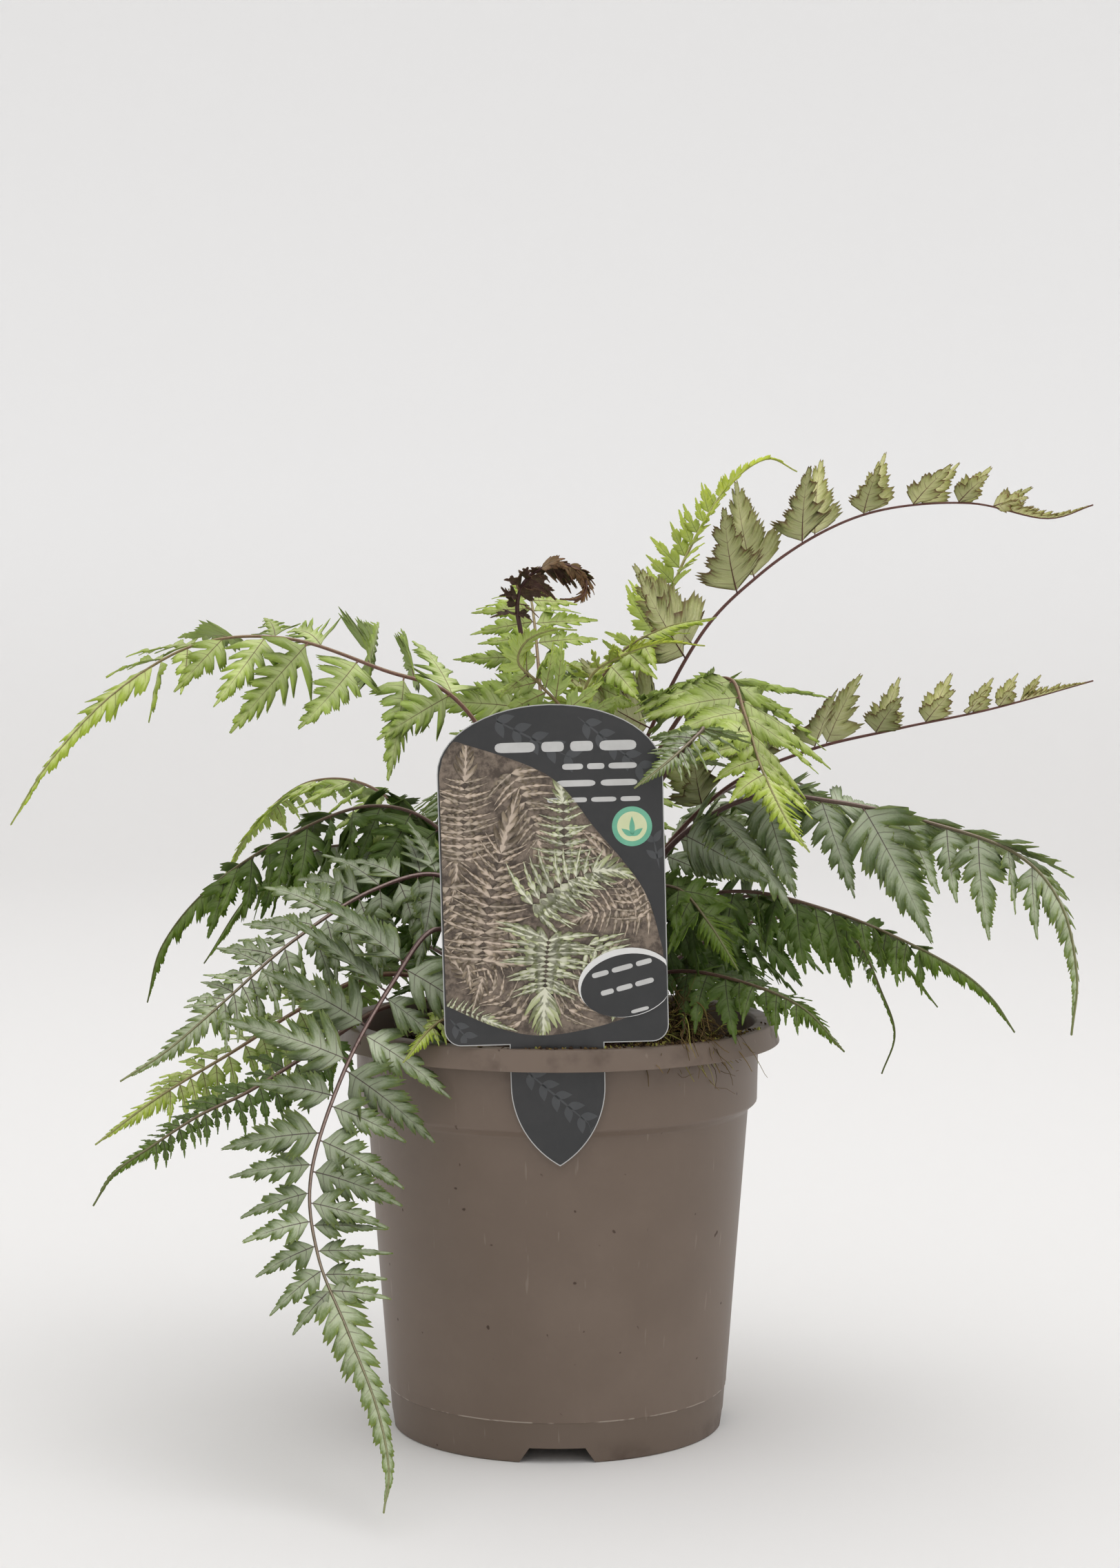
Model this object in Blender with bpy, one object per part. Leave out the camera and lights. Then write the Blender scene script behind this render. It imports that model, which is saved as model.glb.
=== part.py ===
"""Potted lady fern: a clump of drooping fronds in a moulded nursery pot, with a plant label.

Metres, +Z up.  The origin is on the pot's axis, on the surface that the pot stands on.
The front, where the label is, looks along -Y.
"""

import math
import random

import bpy
import bmesh
import numpy as np
from mathutils import Vector

MM = 0.001

# ---------------------------------------------------------------- driving sizes
CLEARANCE = 0.0003          # gap between any two pieces that touch

RIM_RADIUS = 0.0850         # lower edge of the lip, the pot's widest circle
POT_HEIGHT = 0.1550
BASE_RADIUS = 0.0632
WALL = 0.0015

LIP_LEAN = 0.0026           # how far the lip flares out from its top to its lower edge
LIP_DEPTH = 0.0078
LIP_WALL = 0.0013
LIP_OVERHANG = 0.0080       # from the collar's wall out to the lip's lower edge
RIM_EDGE = 0.0010           # bevels along the rim's inner and outer top edges
COLLAR_DEPTH = 0.0305       # from the rim's top down to the step under the collar
COLLAR_TAPER = 0.0007
COLLAR_STEP = 0.0034        # how far the wall sets in under the collar
STEP_HEIGHT = 0.0028
PARTING_HEIGHT = 0.0154     # mould line round the foot
PARTING_LEDGE = 0.0003
FOOT_BEVEL = 0.0010
COLLAR_EDGE = 0.0012        # bevel along the collar's lower edge

FLOOR_RAISE = 0.0065        # underside of the raised drainage floor
FOOT_DISC_RADIUS = 0.0300   # middle of the floor, which stands on the surface
FOOT_DISC_SLOPE = 0.0015
NOTCH_COUNT = 4
NOTCH_HEIGHT = 0.0057
NOTCH_BOTTOM_WIDTH = 0.0280
NOTCH_TOP_WIDTH = 0.0205
NOTCH_REACH = 0.0140        # depth of the notch's cut, half of it inside the foot's radius
CUT_OVERRUN = 0.0010        # how far a cut runs past the face it opens
DRAIN_COUNT = 6
DRAIN_RADIUS = 0.0045
DRAIN_CIRCLE = 0.0450

HEADSPACE = 0.0120          # from the rim's top down to the compost
SOIL_DIP = 0.0015           # how far the compost falls towards the wall
SOIL_BUMP = 0.0012
SOIL_RINGS = 4
SOIL_FLAT = 0.0040          # level band of compost round the crown
CROWN_RADIUS = 0.0240
CROWN_HEIGHT = 0.0070
CROWN_EDGE = 0.0015         # height of the crown's edge
CROWN_SEGMENTS = 20
CROWN_OFFSET_Y = 0.0030

MOSS_ANGLE = -49.0
MOSS_SIZE = (0.0130, 0.0060, 0.0085)
MOSS_ROUGHNESS = 0.14       # how far its surface is pitted, as a part of its size
MOSS_INSET = 0.0085         # from the collar's inner face to the middle of the tuft

LABEL_THICKNESS = 0.0005
LABEL_WIDTH = 0.0800
LABEL_BODY_HEIGHT = 0.1215
LABEL_ARCH_RISE = 0.0240
LABEL_CORNER = 0.0060
LABEL_TAB_WIDTH = 0.0338
LABEL_TAB_LENGTH = 0.0445
LABEL_POINT_LENGTH = 0.0295
LABEL_SEAT = 0.0017         # from the rim's top up to the label's shoulders
LABEL_TILT = 1.5            # degrees, in its own plane
LABEL_LEAN = 2.3            # degrees, towards the front
LABEL_STANDOFF = 0.0005     # from the collar's wall out to the slot
SLOT_SIDE_CLEARANCE = 0.0011
SLOT_FACE_CLEARANCE = 0.0005

POT_SEGMENTS = 48
SOIL_SEGMENTS = 32

# The frond routes below are drawn round a pot and a label of these sizes, and follow the
# sizes that the pot and the label really have.
ROUTE_RIM_RADIUS = 0.0850
ROUTE_POT_HEIGHT = 0.1550
ROUTE_LABEL_WIDTH = 0.0800
ROUTE_LABEL_ZONE = (0.030, 0.060)   # in front of the axis, where routes start to follow

STIPE_RADIUS = 0.0012
RACHIS_RADIUS = 0.0009
TIP_RADIUS = 0.0004
SWEEP = 0.38                # how far a pinna's tip points forward, per unit of its length
STIPE_RINGS = 6

# Where a stipe leaves the crown: inner, middle and outer ring of leaf bases.
INNER = 0.0070
MIDDLE = 0.0130
OUTER = 0.0190

# name, ring, angle on the ring, points of the route in millimetres,
# blade start as a share of the length, half width of the blade in millimetres, pinna pairs,
# fold of the pinnae below (+) or above (-) the rachis, turn of the blade about the vertical,
# roll of the blade about its own rachis; all angles in degrees
FRONDS = (
    ("frond_upper_left", INNER, 190,
     ((-14, 6, 205), (-22, 6, 250), (-40, 4, 278), (-66, 3, 288), (-102, 0, 300),
      (-136, -6, 298), (-166, -14, 280), (-190, -20, 254), (-204, -24, 231)),
     0.40, 34, 12, 14, 0, -28),
    ("frond_upper_right", INNER, 25,
     ((15, 12, 200), (32, 20, 255), (55, 28, 300), (78, 30, 324), (103, 30, 341),
      (128, 28, 350), (160, 24, 352), (188, 18, 346), (205, 12, 351)),
     0.42, 28, 12, -52, 0, 12),
    ("frond_pale_right", MIDDLE, 62,
     ((13, 26, 205), (27, 42, 270), (45, 54, 318), (58, 60, 345), (70, 64, 362),
      (84, 66, 371), (96, 68, 366)),
     0.52, 15, 8, -35, 0, 10),
    ("frond_right_second", MIDDLE, 8,
     ((32, 8, 205), (62, 14, 240), (95, 18, 256), (130, 14, 265), (166, 8, 273),
      (204, 2, 284)),
     0.38, 22, 10, -52, 0, 16),
    ("frond_right_middle", MIDDLE, -18,
     ((26, -12, 190), (42, -18, 222), (72, -22, 241), (102, -27, 240), (136, -35, 233),
      (168, -43, 222), (184, -48, 204), (190, -50, 178), (188, -52, 156)),
     0.30, 40, 12, 30, 0, 24),
    ("frond_right_low", OUTER, -26,
     ((32, -18, 186), (48, -28, 203), (72, -36, 207), (100, -46, 201), (122, -56, 193),
      (144, -65, 182), (156, -70, 172), (164, -73, 160)),
     0.36, 24, 10, 40, 0, 20),
    ("frond_right_curled", OUTER, -2,
     ((40, -1, 184), (68, 1, 201), (94, 3, 198), (114, 2, 185), (124, 0, 165),
      (129, -2, 149), (124, -3, 134)),
     0.36, 12, 10, 30, 0, 10),
    ("frond_rim_right", OUTER, -46,
     ((26, -28, 170), (44, -40, 178), (66, -52, 176), (88, -64, 168), (103, -73, 153)),
     0.42, 20, 7, 20, 0, 14),
    ("frond_centre_right", INNER, -30,
     ((18, -2, 205), (36, 1, 252), (54, -2, 280), (65, -16, 285), (69, -36, 273),
      (74, -56, 254), (82, -74, 236), (89, -86, 226)),
     0.56, 36, 10, 24, 0, 0),
    ("frond_label_edge", MIDDLE, -68,
     ((14, -24, 195), (34, -44, 242), (50, -60, 266), (51, -76, 268), (40, -89, 259),
      (27, -94, 249)),
     0.74, 13, 5, 10, 0, 0),
    ("frond_young_centre", MIDDLE, -100,
     ((0, -20, 195), (4, -42, 240), (4, -54, 270), (-6, -58, 284), (-14, -60, 292),
      (-11, -62, 300), (-2, -64, 304), (7, -65, 304)),
     0.72, 10, 5, -10, 0, 0),
    ("frond_crozier", INNER, -120,
     ((-6, -7, 205), (-9, -12, 262), (-12, -16, 302), (-11, -18, 318), (-4, -19, 327),
      (4, -20, 326), (9, -20, 319)),
     0.86, 5, 4, 20, 0, 0),
    ("frond_centre_back", INNER, 75,
     ((4, 17, 212), (9, 17, 264), (22, 10, 292), (41, 3, 304), (60, -3, 308)),
     0.52, 26, 8, 22, 0, 14),
    ("frond_lime_centre", INNER, -72,
     ((4, -14, 208), (7, -28, 256), (11, -35, 284), (23, -38, 294), (39, -40, 299),
      (54, -42, 298)),
     0.66, 11, 7, -20, 0, 0),
    ("frond_left_dark", MIDDLE, 184,
     ((-26, 2, 198), (-46, 3, 228), (-72, 5, 236), (-104, 7, 224), (-134, 8, 204),
      (-152, 8, 182), (-158, 8, 160)),
     0.32, 32, 11, 28, 0, -24),
    ("frond_left_back", OUTER, 160,
     ((-34, 14, 190), (-60, 22, 214), (-90, 32, 218), (-120, 42, 200), (-141, 50, 170)),
     0.36, 28, 10, 26, 0, -16),
    ("frond_left_middle", MIDDLE, 214,
     ((-22, -16, 188), (-42, -30, 212), (-68, -40, 208), (-97, -50, 190),
      (-120, -57, 170), (-141, -62, 152), (-158, -65, 141)),
     0.36, 24, 13, 12, 0, -44),
    ("frond_left_low", OUTER, 200,
     ((-40, -10, 168), (-67, -18, 174), (-93, -28, 164), (-120, -40, 148),
      (-146, -51, 133), (-168, -60, 117)),
     0.42, 20, 9, 22, 0, -40),
    ("frond_left_trailing", OUTER, 216,
     ((-36, -26, 164), (-62, -46, 166), (-86, -60, 153), (-110, -72, 139),
      (-128, -80, 131), (-144, -85, 121), (-157, -89, 112), (-164, -92, 101)),
     0.46, 13, 9, 14, 0, -36),
    ("frond_front_left", OUTER, 232,
     ((-27, -34, 178), (-44, -52, 195), (-60, -67, 176), (-76, -80, 147),
      (-87, -91, 112), (-84, -100, 85), (-73, -111, 61), (-62, -126, 38),
      (-57, -142, 21), (-58, -155, 10)),
     0.36, 43, 13, 0, 34, 0),
    ("frond_rim_left", OUTER, 250,
     ((-15, -36, 158), (-30, -54, 166), (-44, -68, 162), (-55, -79, 150)),
     0.45, 11, 5, 14, 0, -10),
    ("frond_label_right", MIDDLE, -54,
     ((18, -28, 184), (32, -44, 207), (44, -56, 210), (55, -64, 198), (65, -71, 182)),
     0.50, 15, 6, 16, 0, 14),
    ("frond_back_right", MIDDLE, 40,
     ((32, 30, 198), (60, 54, 234), (92, 80, 242), (120, 102, 224), (138, 116, 196)),
     0.34, 34, 12, 24, 0, 0),
    ("frond_back_middle", MIDDLE, 84,
     ((9, 46, 204), (17, 82, 246), (24, 112, 250), (30, 138, 228), (34, 156, 196)),
     0.34, 36, 12, 22, 0, 0),
    ("frond_back_left", MIDDLE, 112,
     ((-17, 43, 200), (-31, 78, 236), (-43, 107, 238), (-53, 132, 214),
      (-60, 148, 184)),
     0.36, 30, 11, 24, 0, 0),
    ("frond_back_far_left", MIDDLE, 138,
     ((-39, 31, 202), (-69, 54, 237), (-100, 79, 241), (-126, 101, 221),
      (-143, 116, 193)),
     0.36, 29, 11, 24, 0, 0),
    ("frond_back_low_right", OUTER, 55,
     ((30, 44, 166), (52, 74, 178), (70, 100, 164), (80, 116, 134), (84, 124, 102)),
     0.40, 27, 10, 14, 0, 0),
    ("frond_back_low_middle", OUTER, 92,
     ((-2, 48, 166), (-4, 84, 178), (-6, 112, 164), (-8, 130, 134), (-8, 138, 104)),
     0.40, 28, 10, 14, 0, 0),
    ("frond_back_low_left", OUTER, 128,
     ((-34, 42, 166), (-58, 70, 176), (-78, 94, 160), (-92, 110, 132),
      (-97, 118, 104)),
     0.40, 27, 10, 14, 0, 0),
    ("frond_back_upright", INNER, 108,
     ((-3, 24, 215), (-6, 36, 268), (-9, 54, 304), (-12, 78, 320), (-15, 104, 314)),
     0.46, 26, 10, 16, 0, 0),
    ("frond_back_side", OUTER, 22,
     ((42, 20, 172), (76, 36, 188), (108, 50, 186), (136, 61, 172), (154, 68, 150)),
     0.38, 24, 10, 22, 0, 8),
)

# ---------------------------------------------------------------- colours
POT_COLOUR = (0.150, 0.115, 0.092, 1.0)
SOIL_COLOUR = (0.020, 0.014, 0.010, 1.0)
CROWN_COLOUR = (0.045, 0.024, 0.014, 1.0)
MOSS_COLOUR = (0.080, 0.060, 0.025, 1.0)
LABEL_COLOUR = (0.040, 0.040, 0.042, 1.0)
FROND_GREENS = ((0.130, 0.190, 0.100, 1.0), (0.180, 0.270, 0.090, 1.0), (0.060, 0.110, 0.050, 1.0))


# ---------------------------------------------------------------- helpers
def clear_scene():
    """Remove the objects that the file opens with."""
    for item in list(bpy.data.objects):
        bpy.data.objects.remove(item, do_unlink=True)


def make_material(name, colour, roughness):
    """A plain Principled material."""
    material = bpy.data.materials.new(name)
    material.use_nodes = True
    shader = material.node_tree.nodes["Principled BSDF"]
    shader.inputs["Base Color"].default_value = colour
    shader.inputs["Roughness"].default_value = roughness
    shader.inputs["Metallic"].default_value = 0.0
    material.diffuse_color = colour
    return material


def add_object(name, mesh, material):
    """Link a mesh to the scene under its own name, with its material."""
    item = bpy.data.objects.new(name, mesh)
    item.data.materials.append(material)
    bpy.context.scene.collection.objects.link(item)
    return item


def mesh_from(name, vertices, faces):
    """A mesh from points and faces, its normals pointing out."""
    mesh = bpy.data.meshes.new(name)
    mesh.from_pydata([tuple(v) for v in vertices], [], faces)
    builder = bmesh.new()
    builder.from_mesh(mesh)
    bmesh.ops.recalc_face_normals(builder, faces=builder.faces)
    builder.to_mesh(mesh)
    builder.free()
    return mesh


def spin_profile(name, profile, segments):
    """Turn a profile of (radius, height) points, whose ends lie on the axis, into a mesh."""
    builder = bmesh.new()
    points = [builder.verts.new((radius, 0.0, height)) for radius, height in profile]
    edges = [builder.edges.new(pair) for pair in zip(points, points[1:])]
    bmesh.ops.spin(builder, geom=points + edges, axis=(0, 0, 1), cent=(0, 0, 0),
                   steps=segments, angle=2 * math.pi)
    bmesh.ops.remove_doubles(builder, verts=builder.verts, dist=0.00001)
    bmesh.ops.recalc_face_normals(builder, faces=builder.faces)
    mesh = bpy.data.meshes.new(name)
    builder.to_mesh(mesh)
    builder.free()
    return mesh


def add_prism(name, outline, depth, place):
    """A cutter: a flat outline in X and Z, pushed along Y by depth, moved by place."""
    count = len(outline)
    vertices = [Vector((x, -depth / 2, z)) for x, z in outline]
    vertices += [Vector((x, depth / 2, z)) for x, z in outline]
    faces = [tuple(range(count)), tuple(range(2 * count - 1, count - 1, -1))]
    faces += [(i, (i + 1) % count, count + (i + 1) % count, count + i) for i in range(count)]
    return add_cutter(name, mesh_from(name, [place(v) for v in vertices], faces))


def add_cutter(name, mesh):
    """A hidden object that a Boolean cuts with."""
    cutter = bpy.data.objects.new(name, mesh)
    bpy.context.scene.collection.objects.link(cutter)
    cutter.hide_render = True
    cutter.display_type = "WIRE"
    return cutter


def cut(item, cutter):
    """Take the cutter's shape away from the item."""
    modifier = item.modifiers.new("cut_" + cutter.name, "BOOLEAN")
    modifier.operation = "DIFFERENCE"
    modifier.solver = "EXACT"
    modifier.object = cutter


# ---------------------------------------------------------------- the pot
def collar_radius():
    """Outer radius of the collar at the rim."""
    return RIM_RADIUS - LIP_OVERHANG


def collar_foot_radius():
    """Outer radius of the collar just above its step."""
    return collar_radius() - COLLAR_TAPER


def step_top():
    """Height where the collar starts to turn in."""
    return POT_HEIGHT - COLLAR_DEPTH


def floor_top():
    """Upper face of the raised floor."""
    return FLOOR_RAISE + WALL


def soil_level():
    """Height of the compost in the middle of the pot."""
    return POT_HEIGHT - HEADSPACE


def outer_wall_radius(height):
    """Outer radius of the tapered wall at a height below the collar."""
    top = collar_foot_radius() - COLLAR_STEP
    share = height / (step_top() - STEP_HEIGHT)
    return BASE_RADIUS + (top - BASE_RADIUS) * share


def inner_profile():
    """Inside of the pot, from the middle of the floor up to the rim's inner edge."""
    step_low = step_top() - STEP_HEIGHT
    return [
        (0.0, WALL),
        (FOOT_DISC_RADIUS - WALL, WALL),
        (FOOT_DISC_RADIUS - WALL + FOOT_DISC_SLOPE, floor_top()),
        (outer_wall_radius(floor_top()) - WALL, floor_top()),
        (outer_wall_radius(step_low) - WALL, step_low),
        (collar_foot_radius() - WALL, step_top()),
        (collar_radius() - WALL, POT_HEIGHT - RIM_EDGE),
        (collar_radius() - WALL + RIM_EDGE, POT_HEIGHT),
    ]


def outer_profile():
    """Outside of the pot, from the rim's top over the lip and down to the middle of the base."""
    step_low = step_top() - STEP_HEIGHT
    lip_low = POT_HEIGHT - LIP_DEPTH
    lip_top = RIM_RADIUS - LIP_LEAN
    collar = collar_radius()
    skirt = outer_wall_radius(0.0) - WALL
    return [
        (lip_top - RIM_EDGE, POT_HEIGHT),
        (lip_top, POT_HEIGHT - RIM_EDGE),
        (RIM_RADIUS, lip_low),
        (RIM_RADIUS - LIP_WALL, lip_low),
        (lip_top - LIP_WALL, POT_HEIGHT - WALL),
        (collar, POT_HEIGHT - WALL),
        (collar_foot_radius(), step_top()),
        (collar_foot_radius() - COLLAR_EDGE / 2, step_top() - COLLAR_EDGE),
        (outer_wall_radius(step_low), step_low),
        (outer_wall_radius(PARTING_HEIGHT) + PARTING_LEDGE, PARTING_HEIGHT),
        (outer_wall_radius(PARTING_HEIGHT), PARTING_HEIGHT - PARTING_LEDGE),
        (outer_wall_radius(FOOT_BEVEL), FOOT_BEVEL),
        (outer_wall_radius(0.0) - FOOT_BEVEL / 2, 0.0),
        (skirt, 0.0),
        (skirt, FLOOR_RAISE),
        (FOOT_DISC_RADIUS + FOOT_DISC_SLOPE, FLOOR_RAISE),
        (FOOT_DISC_RADIUS, 0.0),
        (0.0, 0.0),
    ]


def label_slot_y():
    """Where the label's mid plane passes down through the rim."""
    return -(collar_radius() + LABEL_STANDOFF + SLOT_FACE_CLEARANCE + LABEL_THICKNESS / 2)


def cut_notches(pot):
    """Drainage notches through the foot, the first one facing front."""
    half_low = NOTCH_BOTTOM_WIDTH / 2
    half_top = NOTCH_TOP_WIDTH / 2
    flare = (half_low - half_top) / NOTCH_HEIGHT * CUT_OVERRUN
    outline = [(-half_low - flare, -CUT_OVERRUN), (half_low + flare, -CUT_OVERRUN),
               (half_top, NOTCH_HEIGHT), (-half_top, NOTCH_HEIGHT)]
    for index in range(NOTCH_COUNT):
        angle = -math.pi / 2 + index * 2 * math.pi / NOTCH_COUNT
        turn = angle + math.pi / 2

        def place(point, turn=turn, angle=angle):
            middle = Vector((math.cos(angle), math.sin(angle), 0)) * BASE_RADIUS
            x = point.x * math.cos(turn) - point.y * math.sin(turn)
            y = point.x * math.sin(turn) + point.y * math.cos(turn)
            return Vector((x, y, point.z)) + middle

        cut(pot, add_prism("cutter_notch_%d" % index, outline, NOTCH_REACH, place))


def cut_drains(pot):
    """Round drain holes through the raised floor, between the notches."""
    for index in range(DRAIN_COUNT):
        angle = (index + 0.5) * 2 * math.pi / DRAIN_COUNT
        builder = bmesh.new()
        bmesh.ops.create_cone(builder, cap_ends=True, segments=8, radius1=DRAIN_RADIUS,
                              radius2=DRAIN_RADIUS, depth=WALL + 2 * CUT_OVERRUN)
        shift = Vector((DRAIN_CIRCLE * math.cos(angle), DRAIN_CIRCLE * math.sin(angle),
                        FLOOR_RAISE + WALL / 2))
        bmesh.ops.translate(builder, verts=builder.verts, vec=shift)
        mesh = bpy.data.meshes.new("cutter_drain_%d" % index)
        builder.to_mesh(mesh)
        builder.free()
        cut(pot, add_cutter("cutter_drain_%d" % index, mesh))


def cut_label_slot(pot):
    """Slot through the top of the rim for the label's tab."""
    half = LABEL_TAB_WIDTH / 2 + SLOT_SIDE_CLEARANCE
    low = POT_HEIGHT - WALL - CUT_OVERRUN
    high = POT_HEIGHT + CUT_OVERRUN
    outline = [(-half, low), (half, low), (half, high), (-half, high)]
    depth = LABEL_THICKNESS + 2 * SLOT_FACE_CLEARANCE
    middle = Vector((0, label_slot_y(), 0))
    cut(pot, add_prism("cutter_slot", outline, depth, lambda point: point + middle))


def make_pot(material):
    """The pot: one thin moulded shell, wall, collar, rim, lip, floor and foot."""
    profile = inner_profile() + outer_profile()
    pot = add_object("pot", spin_profile("pot", profile, POT_SEGMENTS), material)
    cut_notches(pot)
    cut_drains(pot)
    cut_label_slot(pot)
    return pot


# ---------------------------------------------------------------- what fills the pot
def make_compost(material):
    """The compost: it fills the pot, follows the inside of the wall and dips at the edge."""
    inside = inner_profile()
    profile = [(0.0, inside[0][1] + CLEARANCE),
               (inside[1][0] - CLEARANCE, inside[1][1] + CLEARANCE),
               (inside[2][0] - CLEARANCE, inside[2][1] + CLEARANCE),
               (inside[3][0] - CLEARANCE, inside[3][1] + CLEARANCE),
               (inside[4][0] - 2 * CLEARANCE, inside[4][1]),
               (inside[5][0] - 2 * CLEARANCE, inside[5][1])]
    edge = collar_foot_radius() - WALL - 2 * CLEARANCE
    top = soil_level()
    flat = CROWN_RADIUS + SOIL_FLAT
    rings = [edge + (flat - edge) * step / SOIL_RINGS for step in range(1, SOIL_RINGS + 1)]
    profile += [(edge, top - SOIL_DIP)]
    profile += [(radius, top) for radius in rings]
    profile += [(0.0, top)]
    mesh = spin_profile("compost", profile, SOIL_SEGMENTS)
    lumps = random.Random(5)
    for vertex in mesh.vertices:
        radius = math.hypot(vertex.co.x, vertex.co.y)
        on_top = vertex.co.z > top - SOIL_DIP - CLEARANCE
        if on_top and flat + MM < radius < edge - MM:
            vertex.co.z += lumps.uniform(-SOIL_BUMP, SOIL_BUMP)
    return add_object("compost", mesh, material)


def crown_top(radius):
    """Height of the crown's domed top at a radius from its own middle."""
    share = max(0.0, 1.0 - (radius / CROWN_RADIUS) ** 2)
    return soil_level() + CLEARANCE + CROWN_EDGE + CROWN_HEIGHT * share


def make_crown(material):
    """The crown: the low woody dome that the leaf stalks grow from."""
    low = soil_level() + CLEARANCE
    radii = [CROWN_RADIUS * share for share in (0.97, 0.8, 0.6, 0.35)]
    profile = [(0.0, low), (CROWN_RADIUS, low), (CROWN_RADIUS, low + CROWN_EDGE)]
    profile += [(radius, crown_top(radius)) for radius in radii]
    profile += [(0.0, crown_top(0.0))]
    mesh = spin_profile("crown", profile, CROWN_SEGMENTS)
    for vertex in mesh.vertices:
        vertex.co.y += CROWN_OFFSET_Y
    return add_object("crown", mesh, material)


def make_moss(material):
    """A tuft of moss on the compost, against the inside of the rim beside the label."""
    builder = bmesh.new()
    bmesh.ops.create_icosphere(builder, subdivisions=2, radius=1.0)
    lumps = random.Random(11)
    angle = math.radians(MOSS_ANGLE)
    reach = collar_radius() - WALL - MOSS_INSET
    low = soil_level() + SOIL_BUMP + CLEARANCE
    for vertex in builder.verts:
        swell = 1.0 - lumps.uniform(0.0, MOSS_ROUGHNESS)
        along = vertex.co.x * MOSS_SIZE[0] * swell
        out = vertex.co.y * MOSS_SIZE[1] * swell
        out -= along * along / (2 * reach)
        radius = reach + out
        rise = low + (vertex.co.z * swell + 1.0) * MOSS_SIZE[2]
        vertex.co.x = radius * math.cos(angle) - along * math.sin(angle)
        vertex.co.y = radius * math.sin(angle) + along * math.cos(angle)
        vertex.co.z = rise
    builder.normal_update()
    bmesh.ops.recalc_face_normals(builder, faces=builder.faces)
    mesh = bpy.data.meshes.new("moss_tuft")
    builder.to_mesh(mesh)
    builder.free()
    return add_object("moss_tuft", mesh, material)


# ---------------------------------------------------------------- the label
def arc(centre, radii, start, end, count):
    """Points of an elliptic arc in X and height, angles in degrees."""
    angles = [math.radians(start + (end - start) * i / count) for i in range(count + 1)]
    return [(centre[0] + radii[0] * math.cos(a), centre[1] + radii[1] * math.sin(a))
            for a in angles]


def label_outline():
    """The label's edge, from the point of the tab round by the right; height 0 is the rim."""
    half = LABEL_WIDTH / 2
    tab = LABEL_TAB_WIDTH / 2
    low = LABEL_SEAT
    high = low + LABEL_BODY_HEIGHT
    point = low - LABEL_TAB_LENGTH
    bend = (LABEL_POINT_LENGTH ** 2 + tab ** 2) / (2 * tab)
    spread = math.degrees(math.asin(LABEL_POINT_LENGTH / bend))
    right = arc((tab - bend, point + LABEL_POINT_LENGTH), (bend, bend), -spread, 0, 6)
    right += [(tab, low)]
    right += arc((half - LABEL_CORNER, low + LABEL_CORNER), (LABEL_CORNER, LABEL_CORNER),
                 -90, 0, 4)
    arch = arc((0.0, high - LABEL_ARCH_RISE), (half, LABEL_ARCH_RISE), 0, 180, 20)
    left = [(-x, z) for x, z in reversed(right[1:])]
    return right + arch + left


def make_label(material):
    """The label: a thin plastic sheet whose tab hangs through the slot in the rim."""
    tilt = math.radians(LABEL_TILT)
    lean = math.radians(LABEL_LEAN)
    outline = label_outline()
    count = len(outline)
    vertices = []
    for side in (-1, 1):
        for x, height in outline:
            across = x * math.cos(tilt) - height * math.sin(tilt)
            up = x * math.sin(tilt) + height * math.cos(tilt)
            away = side * LABEL_THICKNESS / 2
            vertices.append((across,
                             label_slot_y() - up * math.sin(lean) + away * math.cos(lean),
                             POT_HEIGHT + up * math.cos(lean) + away * math.sin(lean)))
    faces = [tuple(range(count)), tuple(range(2 * count - 1, count - 1, -1))]
    faces += [(i, (i + 1) % count, count + (i + 1) % count, count + i) for i in range(count)]
    return add_object("label", mesh_from("label", vertices, faces), material)


# ---------------------------------------------------------------- the fronds
def follow_pot(points):
    """Move route points, in metres, from the pot they were drawn round to the pot as it is.

    Sideways they scale with the rim.  Up to the rim their height scales with the pot's,
    and above the rim they rise or sink with it.  Near the label they also move out or in
    with its edges.
    """
    moved = np.array(points, dtype=float)
    start, full = ROUTE_LABEL_ZONE
    near = np.clip((-moved[:, 1] - start) / (full - start), 0.0, 1.0)
    half = ROUTE_LABEL_WIDTH / 2
    moved[:, 0] += (LABEL_WIDTH / 2 - half) * near * np.clip(moved[:, 0] / half, -1.0, 1.0)
    moved[:, :2] *= RIM_RADIUS / ROUTE_RIM_RADIUS
    below = np.minimum(moved[:, 2], ROUTE_POT_HEIGHT) * POT_HEIGHT / ROUTE_POT_HEIGHT
    above = np.maximum(moved[:, 2] - ROUTE_POT_HEIGHT, 0.0)
    moved[:, 2] = below + above
    return moved


def smooth_route(points, count):
    """Evenly spaced points on a Catmull-Rom curve through the given points."""
    padded = np.vstack([2 * points[0] - points[1], points, 2 * points[-1] - points[-2]])
    fine = []
    for index in range(len(points) - 1):
        a, b, c, d = padded[index:index + 4]
        t = np.linspace(0, 1, 24, endpoint=False)[:, None]
        fine.append(0.5 * (2 * b + (c - a) * t + (2 * a - 5 * b + 4 * c - d) * t ** 2
                           + (3 * b - a - 3 * c + d) * t ** 3))
    fine = np.vstack(fine + [points[-1:]])
    steps = np.linalg.norm(np.diff(fine, axis=0), axis=1)
    along = np.concatenate([[0.0], np.cumsum(steps)])
    wanted = np.linspace(0, along[-1], count)
    return np.stack([np.interp(wanted, along, fine[:, axis]) for axis in range(3)], axis=1)


def unit(vectors):
    """Vectors scaled to length one."""
    return vectors / np.linalg.norm(vectors, axis=-1, keepdims=True)


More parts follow.
